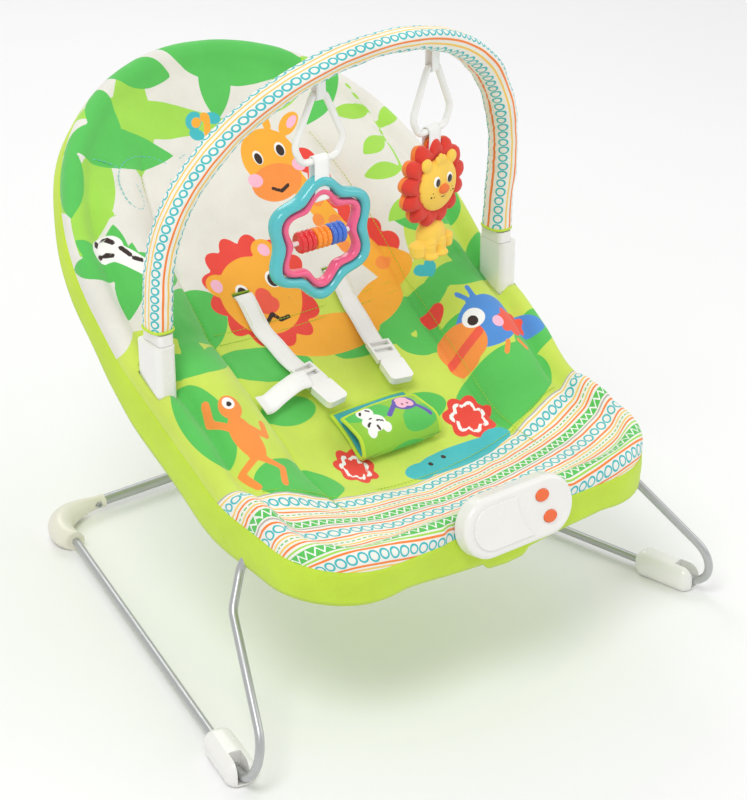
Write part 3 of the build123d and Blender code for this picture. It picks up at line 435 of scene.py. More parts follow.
def shader_group(name, inputs, outputs):
    """A new node group with float sockets, but Vector for an input of that name."""
    tree = bpy.data.node_groups.new(name, "ShaderNodeTree")
    for label, default in inputs:
        kind = "NodeSocketVector" if label == "Vector" else "NodeSocketFloat"
        socket = tree.interface.new_socket(name=label, in_out="INPUT", socket_type=kind)
        if label != "Vector":
            socket.default_value = default
    for label in outputs:
        tree.interface.new_socket(name=label, in_out="OUTPUT", socket_type="NodeSocketFloat")
    graph = Graph(tree)
    return graph, graph.node("NodeGroupInput").outputs, graph.node("NodeGroupOutput").inputs


def make_weave():
    """Plain weave: over and under threads, with slubs; the Shade output is painted shade and light, darker
    where the weave's height is low and lighter where it is high.
    """
    graph, given, out = shader_group(
        "plain_weave_and_painted_shade", [("Vector", None), ("Threads", 1200.0)], ["Height", "Shade"])
    parts = graph.node("ShaderNodeSeparateXYZ")
    graph.put(parts.inputs[0], given["Vector"])
    turn = graph.math("MULTIPLY", given["Threads"], 2 * pi)
    warp = graph.math("SINE", graph.math("MULTIPLY", parts.outputs[0], turn))
    weft = graph.math("SINE", graph.math("MULTIPLY", parts.outputs[1], turn))
    weave = graph.math("MULTIPLY", warp, weft)
    slub = graph.noise(given["Vector"], 900.0, 3.0)
    height = graph.math("ADD", graph.math("MULTIPLY", weave, 0.12), slub)
    graph.put(out["Height"], height)
    # painted shade and light: the colour follows the weave's bump height, darker in its hollows and lighter
    # on raised threads and slubs
    graph.put(out["Shade"], graph.ramp(height, 0.1, 0.9, 0.93, 1.03))
    return graph.tree


def make_mottle():
    """Broad unevenness of a dyed or moulded surface, and its soft creases."""
    graph, given, out = shader_group(
        "soft_mottle", [("Vector", None), ("Low", 0.94), ("High", 1.03)], ["Shade", "Height"])
    broad = graph.noise(given["Vector"], 22.0, 3.0)
    crease = graph.noise(given["Vector"], 70.0, 2.0)
    graph.put(out["Shade"], graph.ramp(broad, 0.3, 0.7, given["Low"], given["High"]))
    graph.put(out["Height"], crease)
    return graph.tree


def make_moulding():
    """Moulded plastic: a faint orange peel, and rubbed patches that are duller."""
    graph, given, out = shader_group(
        "moulded_skin", [("Vector", None), ("Smooth", 0.15), ("Rubbed", 0.3)], ["Roughness", "Height"])
    peel = graph.noise(given["Vector"], 420.0, 1.0)
    patch = graph.noise(given["Vector"], 35.0, 4.0)
    graph.put(out["Roughness"], graph.ramp(patch, 0.42, 0.72, given["Smooth"], given["Rubbed"]))
    graph.put(out["Height"], peel)
    return graph.tree


def soft_edge(graph, inside):
    """1 where inside is over 0, with an edge 0.3 mm wide."""
    return graph.ramp(inside, -0.15, 0.15)


def make_stripe():
    graph, given, out = shader_group(
        "stripe", [("V", 0.0), ("Centre", 0.0), ("Half", 1.0)], ["Mask"])
    away = graph.math("ABSOLUTE", graph.math("SUBTRACT", given["V"], given["Centre"]))
    graph.put(out["Mask"], soft_edge(graph, graph.math("SUBTRACT", given["Half"], away)))
    return graph.tree


def in_cell(graph, u, pitch):
    """Distance from the middle of the repeat that u falls in."""
    share = graph.math("FRACT", graph.math("DIVIDE", u, pitch))
    return graph.math("MULTIPLY", graph.math("SUBTRACT", share, 0.5), pitch)


def make_ring_row():
    """A row of hand-drawn rings; each is a little off its place and out of round."""
    graph, given, out = shader_group(
        "ring_row",
        [("U", 0.0), ("V", 0.0), ("Centre", 0.0), ("Pitch", 9.0), ("Radius", 3.2), ("Line", 0.8)],
        ["Mask"])
    cell = graph.math("FLOOR", graph.math("DIVIDE", given["U"], given["Pitch"]))
    wobble = graph.math("SINE", graph.math("MULTIPLY", cell, 2.4))
    du = in_cell(graph, given["U"], given["Pitch"])
    dv = graph.math("SUBTRACT", graph.math("SUBTRACT", given["V"], given["Centre"]),
                    graph.math("MULTIPLY", wobble, 0.35))
    dv = graph.math("MULTIPLY", dv, 0.86)
    away = graph.math("SQRT", graph.math("ADD", graph.math("MULTIPLY", du, du),
                                         graph.math("MULTIPLY", dv, dv)))
    radius = graph.math("ADD", given["Radius"], graph.math("MULTIPLY", wobble, 0.25))
    off = graph.math("ABSOLUTE", graph.math("SUBTRACT", away, radius))
    graph.put(out["Mask"], soft_edge(graph, graph.math("SUBTRACT", given["Line"], off)))
    return graph.tree


def make_zigzag_row():
    graph, given, out = shader_group(
        "zigzag_row",
        [("U", 0.0), ("V", 0.0), ("Centre", 0.0), ("Pitch", 9.0), ("Rise", 3.4), ("Line", 0.7)],
        ["Mask"])
    du = graph.math("ABSOLUTE", in_cell(graph, given["U"], given["Pitch"]))
    slope = graph.math("DIVIDE", graph.math("MULTIPLY", given["Rise"], 4.0), given["Pitch"])
    line = graph.math("SUBTRACT", graph.math("MULTIPLY", du, slope), given["Rise"])
    dv = graph.math("SUBTRACT", given["V"], given["Centre"])
    off = graph.math("MULTIPLY", graph.math("ABSOLUTE", graph.math("SUBTRACT", dv, line)), 0.6)
    graph.put(out["Mask"], soft_edge(graph, graph.math("SUBTRACT", given["Line"], off)))
    return graph.tree


def make_dash_row():
    graph, given, out = shader_group(
        "dash_row", [("U", 0.0), ("V", 0.0), ("Centre", 0.0), ("Pitch", 5.0), ("Half", 0.7)], ["Mask"])
    du = graph.math("ABSOLUTE", in_cell(graph, given["U"], given["Pitch"]))
    near = soft_edge(graph, graph.math("SUBTRACT", 1.6, du))
    away = graph.math("ABSOLUTE", graph.math("SUBTRACT", given["V"], given["Centre"]))
    thin = soft_edge(graph, graph.math("SUBTRACT", given["Half"], away))
    graph.put(out["Mask"], graph.math("MULTIPLY", near, thin))
    return graph.tree


WEAVE, MOTTLE, MOULDING = make_weave(), make_mottle(), make_moulding()
STRIPE, RING_ROW, ZIGZAG_ROW, DASH_ROW = make_stripe(), make_ring_row(), make_zigzag_row(), make_dash_row()


def new_material(name):
    material = bpy.data.materials.new(name)
    material.use_nodes = True
    graph = Graph(material.node_tree)
    shader = material.node_tree.nodes["Principled BSDF"]
    return material, graph, shader.inputs


def coordinates(graph, source="Object"):
    return graph.node("ShaderNodeTexCoord").outputs[source]


def bump(graph, height, strength, distance):
    made = graph.node("ShaderNodeBump")
    made.inputs["Strength"].default_value = strength
    made.inputs["Distance"].default_value = distance
    graph.put(made.inputs["Height"], height)
    return made.outputs["Normal"]


def shaded(graph, shader, colour, shade):
    """Sets the base colour to colour times a grey value."""
    grey = graph.node("ShaderNodeCombineColor")
    for k in range(3):
        graph.put(grey.inputs[k], shade)
    graph.put(shader["Base Color"], graph.mix(1.0, colour, grey.outputs[0], "MULTIPLY"))


def finish_cloth(graph, shader, colour, vector, threads=1300.0, roughness=0.86, crease=0.5):
    """Weave, slubs, uneven dye and fine creases over a cloth's colour; the weave's part of the colour is
    painted shade and light on its relief.
    """
    weave = graph.group(WEAVE, Vector=vector, Threads=threads)
    mottle = graph.group(MOTTLE, Vector=coordinates(graph))
    # the weave's share is painted shade and light from its relief; the mottle's share is uneven dye
    shade = graph.math("MULTIPLY", weave.outputs["Shade"], mottle.outputs["Shade"])
    shaded(graph, shader, colour, shade)
    fine = bump(graph, weave.outputs["Height"], 0.35, 0.2 * MM)
    broad = graph.node("ShaderNodeBump")
    broad.inputs["Strength"].default_value = crease
    broad.inputs["Distance"].default_value = 1.2 * MM
    graph.put(broad.inputs["Height"], mottle.outputs["Height"])
    graph.put(broad.inputs["Normal"], fine)
    graph.put(shader["Normal"], broad.outputs["Normal"])
    shader["Roughness"].default_value = roughness
    shader["Sheen Weight"].default_value = 0.2
    shader["Sheen Roughness"].default_value = 0.5
    shader["Specular IOR Level"].default_value = 0.3


def plain_cloth(name, colour, threads=1300.0, crease=0.5):
    material, graph, shader = new_material(name)
    finish_cloth(graph, shader, linear(*colour), coordinates(graph), threads, crease=crease)
    return material


def plastic(name, colour, smooth_at=0.16, rubbed=0.28, coat=0.25, soften=0.0):
    material, graph, shader = new_material(name)
    vector = coordinates(graph)
    skin = graph.group(MOULDING, Vector=vector, Smooth=smooth_at, Rubbed=rubbed)
    mottle = graph.group(MOTTLE, Vector=vector, Low=0.975, High=1.01)
    shaded(graph, shader, linear(*colour), mottle.outputs["Shade"])
    graph.put(shader["Roughness"], skin.outputs["Roughness"])
    graph.put(shader["Normal"], bump(graph, skin.outputs["Height"], 0.08, 0.15 * MM))
    shader["Coat Weight"].default_value = coat
    shader["Coat Roughness"].default_value = 0.08
    shader["Subsurface Weight"].default_value = soften
    shader["Subsurface Scale"].default_value = 2 * MM
    return material


def metal(name, colour, roughness, metallic=1.0, fleck=0.05):
    """Painted or plated metal, with fine fleck and dulled patches."""
    material, graph, shader = new_material(name)
    vector = coordinates(graph)
    skin = graph.group(MOULDING, Vector=vector, Smooth=roughness, Rubbed=roughness + 0.14)
    fleck_noise = graph.noise(vector, 1500.0, 1.0)
    shade = graph.ramp(fleck_noise, 0.35, 0.65, 1.0 - fleck, 1.0 + fleck)
    shaded(graph, shader, linear(*colour), shade)
    graph.put(shader["Roughness"], skin.outputs["Roughness"])
    graph.put(shader["Normal"], bump(graph, skin.outputs["Height"], 0.12, 0.1 * MM))
    shader["Metallic"].default_value = metallic
    return material


# colours of the prints, as they are seen
LIME, LIME_DEEP, LIGHT_GREEN, MID_GREEN = (206, 228, 92), (172, 205, 58), (166, 222, 84), (92, 198, 92)
CREAM, PALE = (232, 230, 220), (243, 241, 232)
RED, ORANGE, GOLD, YELLOW = (238, 74, 62), (250, 136, 56), (252, 178, 58), (250, 206, 96)
TEAL, BLUE, PINK = (70, 190, 196), (84, 146, 218), (252, 190, 212)
INK, WHITE = (58, 44, 40), (250, 250, 246)
MAUVE, PURPLE = (186, 176, 168), (104, 92, 178)

BAND_ROWS = (
    ("stripe", 0.8, 0.8, MAUVE), ("stripe", 4.6, 0.9, YELLOW), ("rings", 12.5, 3.5, TEAL),
    ("stripe", 20.6, 1.0, YELLOW), ("stripe", 25.2, 1.0, ORANGE), ("dashes", 29.4, 0.7, MID_GREEN),
    ("stripe", 33.4, 0.9, YELLOW), ("stripe", 37.2, 1.1, ORANGE), ("stripe", 45.8, 4.6, MID_GREEN),
    ("zigzag", 45.8, 3.2, WHITE), ("stripe", 52.8, 0.8, MAUVE),
    ("stripe", 57.2, 1.1, ORANGE), ("rings", 65.5, 3.9, TEAL), ("stripe", 74.0, 1.1, ORANGE),
    ("stripe", 78.4, 0.9, YELLOW), ("dashes", 82.4, 0.7, MID_GREEN), ("stripe", 86.6, 1.0, YELLOW),
    ("stripe", 90.6, 1.1, ORANGE), ("stripe", 95.4, 0.9, LIGHT_GREEN), ("stripe", 104.0, 5.2, MID_GREEN),
    ("zigzag", 104.0, 3.7, WHITE), ("stripe", 112.0, 1.0, LIGHT_GREEN), ("stripe", 115.8, 1.1, ORANGE),
    ("rings", 123.6, 3.9, TEAL), ("stripe", 131.6, 1.1, ORANGE), ("stripe", 135.6, 1.0, YELLOW),
    ("dashes", 139.4, 0.7, MID_GREEN), ("stripe", 143.2, 1.1, ORANGE),
)
SLEEVE_ROWS = (
    ("stripe", 0.0, 1.5, ORANGE), ("rings", 11.5, 3.7, TEAL), ("stripe", 18.6, 0.7, PALE),
    ("stripe", 20.4, 1.0, YELLOW), ("stripe", 25.6, 1.1, ORANGE), ("rings", 33.6, 3.2, TEAL),
    ("stripe", 40.6, 1.0, YELLOW), ("stripe", 44.8, 1.0, ORANGE), ("stripe", 48.6, 0.8, LIGHT_GREEN),
)


def add_rows(graph, colour, u, v, rows):
    """Lays the rows of a striped print over a colour; u and v in millimetres."""
    for kind, centre, size, ink in rows:
        if kind == "stripe":
            mask = graph.group(STRIPE, V=v, Centre=centre, Half=size)
        elif kind == "rings":
            mask = graph.group(RING_ROW, U=u, V=v, Centre=centre, Pitch=size * 2.55, Radius=size, Line=0.85)
        elif kind == "zigzag":
            mask = graph.group(ZIGZAG_ROW, U=u, V=v, Centre=centre, Pitch=size * 2.3, Rise=size, Line=0.75)
        else:
            mask = graph.group(DASH_ROW, U=u, V=v, Centre=centre, Half=size)
        colour = graph.mix(mask.outputs["Mask"], colour, linear(*ink))
    return colour


def uv_millimetres(graph):
    vector = coordinates(graph, "UV")
    parts = graph.node("ShaderNodeSeparateXYZ")
    graph.put(parts.inputs[0], vector)
    return vector, *(graph.math("MULTIPLY", parts.outputs[k], 1000) for k in range(2))


def attribute_mask(graph, name, soft=0.25):
    made = graph.node("ShaderNodeAttribute", attribute_name=name)
    return graph.ramp(made.outputs["Fac"], -soft, soft)


def printed_cloth(name, ground, layers, rows=(), row_edge=None, threads=1300.0):
    """Cloth with a print: shapes held as named values on the mesh, then an optional striped band."""
    material, graph, shader = new_material(name)
    vector, u, v = uv_millimetres(graph)
    colour = linear(*ground)
    for layer, ink in layers:
        colour = graph.mix(attribute_mask(graph, layer), colour, linear(*ink))
    if rows and row_edge is None:
        colour = add_rows(graph, colour, u, v, rows)
    if row_edge is not None:
        bow = graph.math("MULTIPLY", graph.math("MULTIPLY", u, u), BAND_BOW * MM)
        q = graph.math("SUBTRACT", graph.math("ADD", bow, row_edge), v)
        band = add_rows(graph, linear(*PALE), u, q, rows)
        colour = graph.mix(graph.ramp(q, -0.2, 0.2), colour, band)
        colour = graph.mix(attribute_mask(graph, "teal_over"), colour, linear(*TEAL))
        colour = graph.mix(attribute_mask(graph, "ink_over"), colour, linear(*INK))
    finish_cloth(graph, shader, colour, vector, threads)
    return material


# ------------------------------------------------------------------ the cover's print
def ellipse(x, s, cx, cs, rx, rs, turn=0.0):
    """Distance inside an ellipse, in millimetres; negative outside."""
    a = radians(turn)
    dx, ds = x - cx, s - cs
    dx, ds = dx * cos(a) + ds * sin(a), ds * cos(a) - dx * sin(a)
    return (1 - np.hypot(dx / rx, ds / rs)) * min(rx, rs)


def capsule(x, s, x0, s0, x1, s1, r):
    run = np.array([x1 - x0, s1 - s0], float)
    t = np.clip(((x - x0) * run[0] + (s - s0) * run[1]) / (run @ run), 0, 1)
    return r - np.hypot(x - x0 - t * run[0], s - s0 - t * run[1])


def leaf(x, s, x0, s0, x1, s1, width):
    """A pointed leaf from its stalk end to its tip."""
    run = np.array([x1 - x0, s1 - s0], float)
    length = np.hypot(*run)
    run /= length
    t = ((x - x0) * run[0] + (s - s0) * run[1]) / length
    side = np.abs((s - s0) * run[0] - (x - x0) * run[1])
    body = width / 2 * (1 - (2 * t - 1) ** 2) - side
    return np.minimum(body, np.minimum(t, 1 - t) * length)


def scalloped(x, s, cx, cs, r, lobes, depth, turn=0.0):
    angle = np.arctan2(s - cs, x - cx) + radians(turn)
    return r + depth * np.abs(np.cos(angle * lobes / 2)) - np.hypot(x - cx, s - cs)


def any_of(*shapes):
    return np.maximum.reduce(shapes)


def spray(x, s, cx, cs, reach, width, turns):
    """Leaves that spread from one point, in the given directions."""
    return any_of(*(leaf(x, s, cx, cs, cx + reach * cos(radians(t)), cs + reach * sin(radians(t)), width)
                    for t in turns))


def vine(x, s, points, r=1.4):
    return any_of(*(capsule(x, s, *a, *b, r) for a, b in zip(points, points[1:])))


def cover_print(x, s):
    """Inside distances of every colour of the cover's print, at x and s in millimetres."""
    oval, blade, stroke, flower, fan, twig = (
        partial(shape, x, s) for shape in (ellipse, leaf, capsule, scalloped, spray, vine))
    ground = s - 305 - 9 * np.sin(x / 17) - 6 * np.sin(x / 7.5 + 1)
    right_green = any_of(oval(190, 300, 66, 84, 12), oval(120, 268, 40, 34))
    cream = np.minimum(ground, -right_green)
    head_light = any_of(
        blade(-206, 400, -120, 512, 44), blade(-150, 545, 20, 505, 40),
        blade(-60, 590, -98, 468, 46), blade(130, 545, 60, 500, 30), blade(-210, 470, -150, 430, 26))
    head_mid = any_of(
        blade(-176, 520, -52, 484, 46), blade(-196, 440, -164, 520, 34),
        blade(-30, 598, 120, 540, 62), blade(40, 590, 10, 508, 34), blade(-110, 570, -120, 478, 40),
        blade(150, 520, 96, 478, 24), blade(-100, 585, -20, 560, 36))
    climber = any_of(
        twig([(152, 505), (166, 455), (160, 405), (150, 350), (152, 318)]),
        *(blade(cx, cs, cx + dx, cs + ds, 19) for cx, cs, dx, ds in (
            (163, 470, -38, 12), (163, 440, -34, -14), (160, 400, -40, 6), (155, 366, -34, -12),
            (166, 452, 28, 16), (158, 384, 28, 10))))
    lower_blobs = any_of(
        oval(-120, 318, 46, 30, 20), oval(70, 262, 66, 20, 8),
        oval(-70, 262, 50, 20, -12), oval(-124, 128, 44, 24, -10),
        oval(128, 148, 56, 34, 14), oval(36, 168, 40, 18, 0),
        oval(-78, 208, 30, 16, 0), fan(96, 216, 44, 20, (20, 75, 130)),
        fan(-150, 250, 54, 24, (40, 90, 140)), fan(178, 262, 60, 30, (60, 110, 160)),
        fan(168, 330, 50, 26, (40, 100, 150)), fan(-128, 350, 52, 30, (80, 130)),
        oval(190, 190, 34, 18, 20), oval(-182, 205, 24, 46, 0))
    left_leaves = any_of(fan(-176, 372, 54, 22, (70, 120, 150)), blade(-186, 330, -150, 400, 26))

    # a giraffe: neck, head, muzzle and mane
    neck = any_of(stroke(58, 436, 84, 356, 11), stroke(84, 356, 108, 312, 15))
    giraffe = any_of(oval(46, 456, 30, 34, 8), neck, oval(80, 486, 15, 8, 35),
                     stroke(34, 486, 29, 505, 4), stroke(58, 490, 60, 508, 4))
    giraffe_mane = any_of(*(oval(80 + 6 * k, 446 - 22 * k, 12, 14) for k in range(6)))
    muzzle = oval(41, 433, 28, 19, 6)
    patches = any_of(*(oval(cx, cs, rx, 7, t) for cx, cs, rx, t in (
        (72, 404, 7, 20), (64, 384, 6, 0), (80, 378, 7, 30), (92, 346, 9, 0),
        (76, 350, 6, 0), (104, 322, 8, 10))))

    # a lion: scalloped mane, square face, ears and a body
    mane = flower(-30, 334, 50, 13, 10, 8)
    face = any_of(oval(-32, 330, 44, 40, 10), oval(-6, 372, 12, 12),
                  oval(-72, 348, 12, 12))
    lion_low = any_of(oval(10, 274, 56, 22, -6), oval(78, 288, 34, 18, 24))
    nose = any_of(oval(-30, 318, 13, 9, 0), oval(-30, 326, 9, 10))
    ears_in = any_of(oval(-5, 372, 6, 7), oval(-73, 348, 6, 7),
                     oval(20, 440, 8, 7), oval(72, 444, 7, 7), oval(84, 487, 8, 4, 35))
    spots = any_of(*(oval(cx, cs, 1.6, 1.6) for cx, cs in (
        (-12, 312), (-6, 318), (-4, 309), (-52, 306), (-58, 313), (-50, 299))))
    eyes_white = any_of(oval(-12, 341, 7.5, 9), oval(-50, 335, 7.5, 9),
                        oval(34, 462, 5.5, 7.5), oval(60, 464, 5.5, 7.5),
                        oval(134, 222, 10, 10), oval(-152, 214, 6, 6))
    eyes = any_of(oval(-12, 340, 5.6, 7.2), oval(-50, 334, 5.6, 7.2),
                  oval(34, 461, 4.2, 6), oval(60, 463, 4.2, 6),
                  oval(132, 220, 4.6, 5.4), oval(-152, 213, 2.8, 2.8))
    smiles = any_of(twig([(-30, 309), (-24, 302), (-14, 303)], 1.9), twig([(-30, 309), (-40, 302)], 1.9),
                    twig([(34, 428), (42, 423), (51, 427)], 1.8))

    # a bird on the right side, hearts, and a frog on the left side
    bird = any_of(oval(146, 214, 31, 27, 20), oval(176, 200, 28, 13, -20),
                  stroke(140, 240, 134, 252, 2.4), stroke(146, 241, 146, 254, 2.4))
    beak = any_of(oval(116, 206, 19, 21, 20), oval(110, 192, 12, 13))
    beak_band = np.minimum(beak, 4.5 - np.abs((s - 200) - 0.4 * (x - 112)))
    wing = flower(168, 205, 12, 7, 5)
    feet = any_of(stroke(150, 186, 142, 176, 2.4), stroke(162, 184, 166, 174, 2.4))

    def heart(cx, cs, r):
        across, up = (x - cx) / r, (s - cs) / r
        return (1 - np.hypot(across, up - 0.75 * np.sqrt(np.abs(across)))) * r

    frog = any_of(oval(-152, 178, 12, 24, 10), oval(-152, 210, 11, 12),
                  *(stroke(*ends, 3.2) for ends in (
                      (-160, 190, -174, 204), (-174, 204, -170, 222), (-146, 188, -132, 176),
                      (-132, 176, -128, 190), (-156, 158, -172, 150), (-172, 150, -166, 130),
                      (-148, 156, -134, 142), (-134, 142, -142, 124))))
    flowers = any_of(flower(84, 142, 18, 7, 6), flower(-52, 136, 15, 7, 5))
    petals_line = any_of(np.minimum(flower(84, 142, 12.4, 7, 5), -flower(84, 142, 8.6, 7, 5)),
                         np.minimum(flower(-52, 136, 10.4, 7, 4), -flower(-52, 136, 6.8, 7, 4)))
    butterfly = any_of(oval(-14, 514, 11, 8, 40), oval(-17, 500, 8, 6, -20),
                       oval(6, 512, 8, 6, -30))
    butterfly_in = any_of(oval(-12, 512, 6, 4.6, 40), stroke(-6, 498, 0, 512, 3.4),
                          oval(-1, 515, 5, 5))
    cheeks = any_of(oval(152, 208, 6, 6), ears_in)
    fish = any_of(oval(42, 108, 50, 16, 0), oval(-2, 108, 16, 12), oval(88, 112, 15, 11))
    fish_dots = any_of(oval(12, 112, 2.6, 3), oval(30, 116, 2.6, 3))
    white_fur = any_of(oval(-174, 402, 16, 13, 10), stroke(-168, 396, -150, 372, 9))
    fur_marks = any_of(*(stroke(*ends, 2.4) for ends in (
        (-182, 408, -178, 412), (-170, 412, -166, 406), (-176, 398, -172, 394), (-162, 398, -158, 388),
        (-156, 384, -150, 380), (-180, 398, -184, 396))))
    return {
        "cream": cream, "leaf_light": head_light,
        "leaf_mid": any_of(head_mid, lower_blobs, left_leaves), "climber": climber,
        "red_low": any_of(giraffe_mane, flowers, heart(112, 245, 9)),
        "fur": white_fur, "gold_low": any_of(giraffe, lion_low), "red_mane": mane,
        "gold": any_of(face, butterfly_in), "muzzle": any_of(muzzle, patches, frog, beak, feet),
        "teal": any_of(butterfly, heart(128, 289, 9)), "blue": bird,
        "red_over": any_of(beak_band, wing, nose), "pink": cheeks,
        "white_ink": any_of(eyes_white, petals_line), "ink": any_of(eyes, smiles, spots, fur_marks),
        "teal_over": fish, "ink_over": fish_dots,
    }


COVER_LAYERS = (
    ("cream", CREAM), ("leaf_light", LIGHT_GREEN), ("leaf_mid", MID_GREEN), ("climber", LIGHT_GREEN),
    ("red_low", RED), ("fur", WHITE), ("gold_low", GOLD), ("red_mane", RED),
    ("teal", TEAL), ("gold", GOLD), ("blue", BLUE), ("muzzle", (250, 150, 70)), ("red_over", (244, 96, 74)),
    ("pink", PINK), ("white_ink", WHITE), ("ink", INK),
)


def set_layers(obj, values):
    for name, value in values.items():
        layer = obj.data.attributes.new(name, "FLOAT", "POINT")
        layer.data.foreach_set("value", np.clip(value, -6, 6).astype(np.float32))


# ------------------------------------------------------------------ the padded cover
# The rim's profile, from the panel over the tube and down its outside: (inside distance, height)
RIM_TOP = ((24, 0), (20, 0), (16.5, 0.5), (13.2, 2.2), (10.2, 4.8), (7.2, 7.3), (3.8, 9.3),
           (0, 10.1), (-3.8, 9.4),
           (-7.0, 7.3), (-9.2, 4.2), (-10.2, 0.4), (-10.3, -3.6), (-10.1, -7.4), (-9.7, -11.0))
RIM_LOW = ((24, -9), (20.5, -9), (17.4, -9.2), (14.4, -9.4), (11.6, -9.7), (8.8, -10.1), (6, -10.5),
           (3, -10.8),
           (0, -11), (-2.6, -11.2), (-4.6, -11.3), (-6.2, -11.4), (-7.4, -11.5), (-8.4, -11.6),
           (-9.2, -11.8))
WELD = 2e-6                                  # points nearer than this are one
UNIT_HALF = 62 * MM
CLIP_HALF = 19.5 * MM
UNIT_BACK_GAP = 5.3 * MM                     # room between the front tube's axis and the unit's back
UNIT_LEAN = radians(18.9)                    # the unit's back, against the line of the front run
SLOT_X, SLOT_W, SLOT_S = 52 * MM, 24 * MM, HIP_S + 36.8 * MM
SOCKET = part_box("toy_bar_socket_right")


def clear_of_unit(x, d, h):
    """Moves rim points back from the vibration unit's flat back."""
    forward = -d * cos(UNIT_LEAN) + h * sin(UNIT_LEAN) - UNIT_BACK_GAP
    near = 1 - smooth(UNIT_HALF, UNIT_HALF + 12 * MM, np.abs(x))
    return d + np.clip(forward, 0, None) / cos(UNIT_LEAN) * near


def cover_grids():
    """Top and underside points of the cover on one grid, with print coordinates and the faces."""
    top = np.array(RIM_TOP) * MM
    low = np.array(RIM_LOW) * MM
    steps = len(top) - 1
    reach = np.concatenate([[0], np.cumsum(np.hypot(*np.diff(top, axis=0).T))])
    in_x, in_s = OUT_X - OUT_NX * RIM_IN, OUT_S - OUT_NS * RIM_IN
    u = np.linspace(-1, 1, COLUMNS)
    width = COLUMNS + 2 * steps
    top_points, low_points, flat = [], [], ([], [], [], [])

    def add(x, s, d, h, px, ps):
        """Adds a row of top points, and returns the height by which the padding lifts it."""
        fade = smooth(10 * MM, RIM_IN, d)
        lift = cover_height(x, s) * fade
        crease = np.array([noise.noise(Vector((a * 26, b * 15, 3.1))) for a, b in zip(px, ps)])
        fine = np.array([noise.noise(Vector((a * 75, b * 60, 8.7))) for a, b in zip(px, ps)])
        wrinkle = (crease * 2.8 + fine * 0.9) * MM * (0.3 + 0.7 * fade)
        lump = over_joints(x, s) * (h > -2 * MM)
        top_points.append(over_frame(x, s, h + lift + wrinkle + lump))
        for values, more in zip(flat, (x, s, px, ps)):
            values.append(more)
        return lift

    # one row runs over the left rim, the panel and the right rim
    rim = np.column_stack([top[1:], low[1:], reach[1:]])
    panel = np.tile([RIM_IN, 0.0, RIM_IN, -PAD, 0.0], (COLUMNS, 1))
    d, h, low_d, low_h, run = np.vstack([rim[::-1], panel, rim]).T
    side = np.repeat([-1, 0, 1], [steps, COLUMNS, steps])
    across = np.concatenate([np.zeros(steps), u, np.zeros(steps)])
    for i in range(ROWS):
        x = side * (OUT_X[i] - OUT_NX[i] * d) + across * in_x[i]
        s = OUT_S[i] - OUT_NS[i] * d
        px = side * (in_x[i] + OUT_NX[i] * run) + across * in_x[i]
        lift = add(x, s, d, h, px, in_s[i] + OUT_NS[i] * run)
        low_x = x + OUT_NX[i] * side * (d - low_d)
        low_points.append(over_frame(low_x, s + OUT_NS[i] * (d - low_d), low_h + lift))
    # the rim along the front, which keeps clear of the unit
    x = u * OUT_X[0]
    for k in range(1, steps + 1):
        front = clear_of_unit(x, np.full(COLUMNS, top[k][0]), top[k][1])
        under = clear_of_unit(x, np.full(COLUMNS, low[k][0]), low[k][1])
        lift = add(x, front, front, top[k][1], x, np.full(COLUMNS, RIM_IN - reach[k]))
        low_points.append(over_frame(x, under, low[k][1] + lift))
    faces = [(i * width + j, i * width + j + 1, (i + 1) * width + j + 1, (i + 1) * width + j)
             for i in range(ROWS - 1) for j in range(width - 1)]
    base = ROWS * width
    first = [steps + j for j in range(COLUMNS)]
    for k in range(steps):
        ring = [base + k * COLUMNS + j for j in range(COLUMNS)]
        faces += [(ring[j], ring[j + 1], first[j + 1], first[j]) for j in range(COLUMNS - 1)]
        first = ring
    return np.vstack(top_points), np.vstack(low_points), [np.concatenate(v) for v in flat], faces


def in_opening(x, s, y):
    """Whether a cover point lies in a harness slot, at a toy bar socket or at the unit's clip."""
    slot = (abs(abs(x) - SLOT_X) < SLOT_W / 2) & (abs(s - SLOT_S) < 3.6 * MM)
    low, high = SOCKET
    margin = 1.6 * MM
    socket = ((abs(x) > low[0] - margin) & (y > low[1] - margin) & (y < high[1] + margin)
              & (abs(x) < high[0] + margin))
    clip = (abs(x) < CLIP_HALF) & (s < 13 * MM)
    return slot | socket | clip


def padded_cover():
    top, low, (x, s, px, ps), faces = cover_grids()
    # weld the shared edges by place, so that slots and edges close with walls
    key = np.round(top / WELD).astype(np.int64)
    _, first, same = np.unique(key, axis=0, return_index=True, return_inverse=True)
    same = same.ravel()
    top, low, x, s, px, ps = (v[first] for v in (top, low, x, s, px, ps))
    hole = in_opening(x, s, top[:, 1])
    kept = []
    for face in faces:
        ids = list(dict.fromkeys(int(same[k]) for k in face))
        if len(ids) >= 3 and not all(hole[k] for k in ids):
            kept.append(tuple(ids))
    count = len(top)
    edges = dict.fromkeys(edge for face in kept for edge in zip(face, face[1:] + face[:1]))
    walls = [(b, a, a + count, b + count) for a, b in edges if (b, a) not in edges]
    under = [tuple(k + count for k in face[::-1]) for face in kept]
    cover = new_object("padded_cover", np.vstack([top, low]), kept + under + walls)
    metric_uv(cover, np.concatenate([px, px]), np.concatenate([ps, ps]))
    set_layers(cover, {k: np.concatenate([v, v]) for k, v in cover_print(px / MM, ps / MM).items()})
    paint(cover, MAT["cover_print"], MAT["lime_cloth"])
    mark_faces(cover, len(kept), None)
    finish_normals(cover, merge=0, drop_loose=True)
    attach(cover, "seat")
    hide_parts("seat_panel", "back_panel", "side_bolster_left", "side_bolster_right",
                "edge_binding")
    return cover


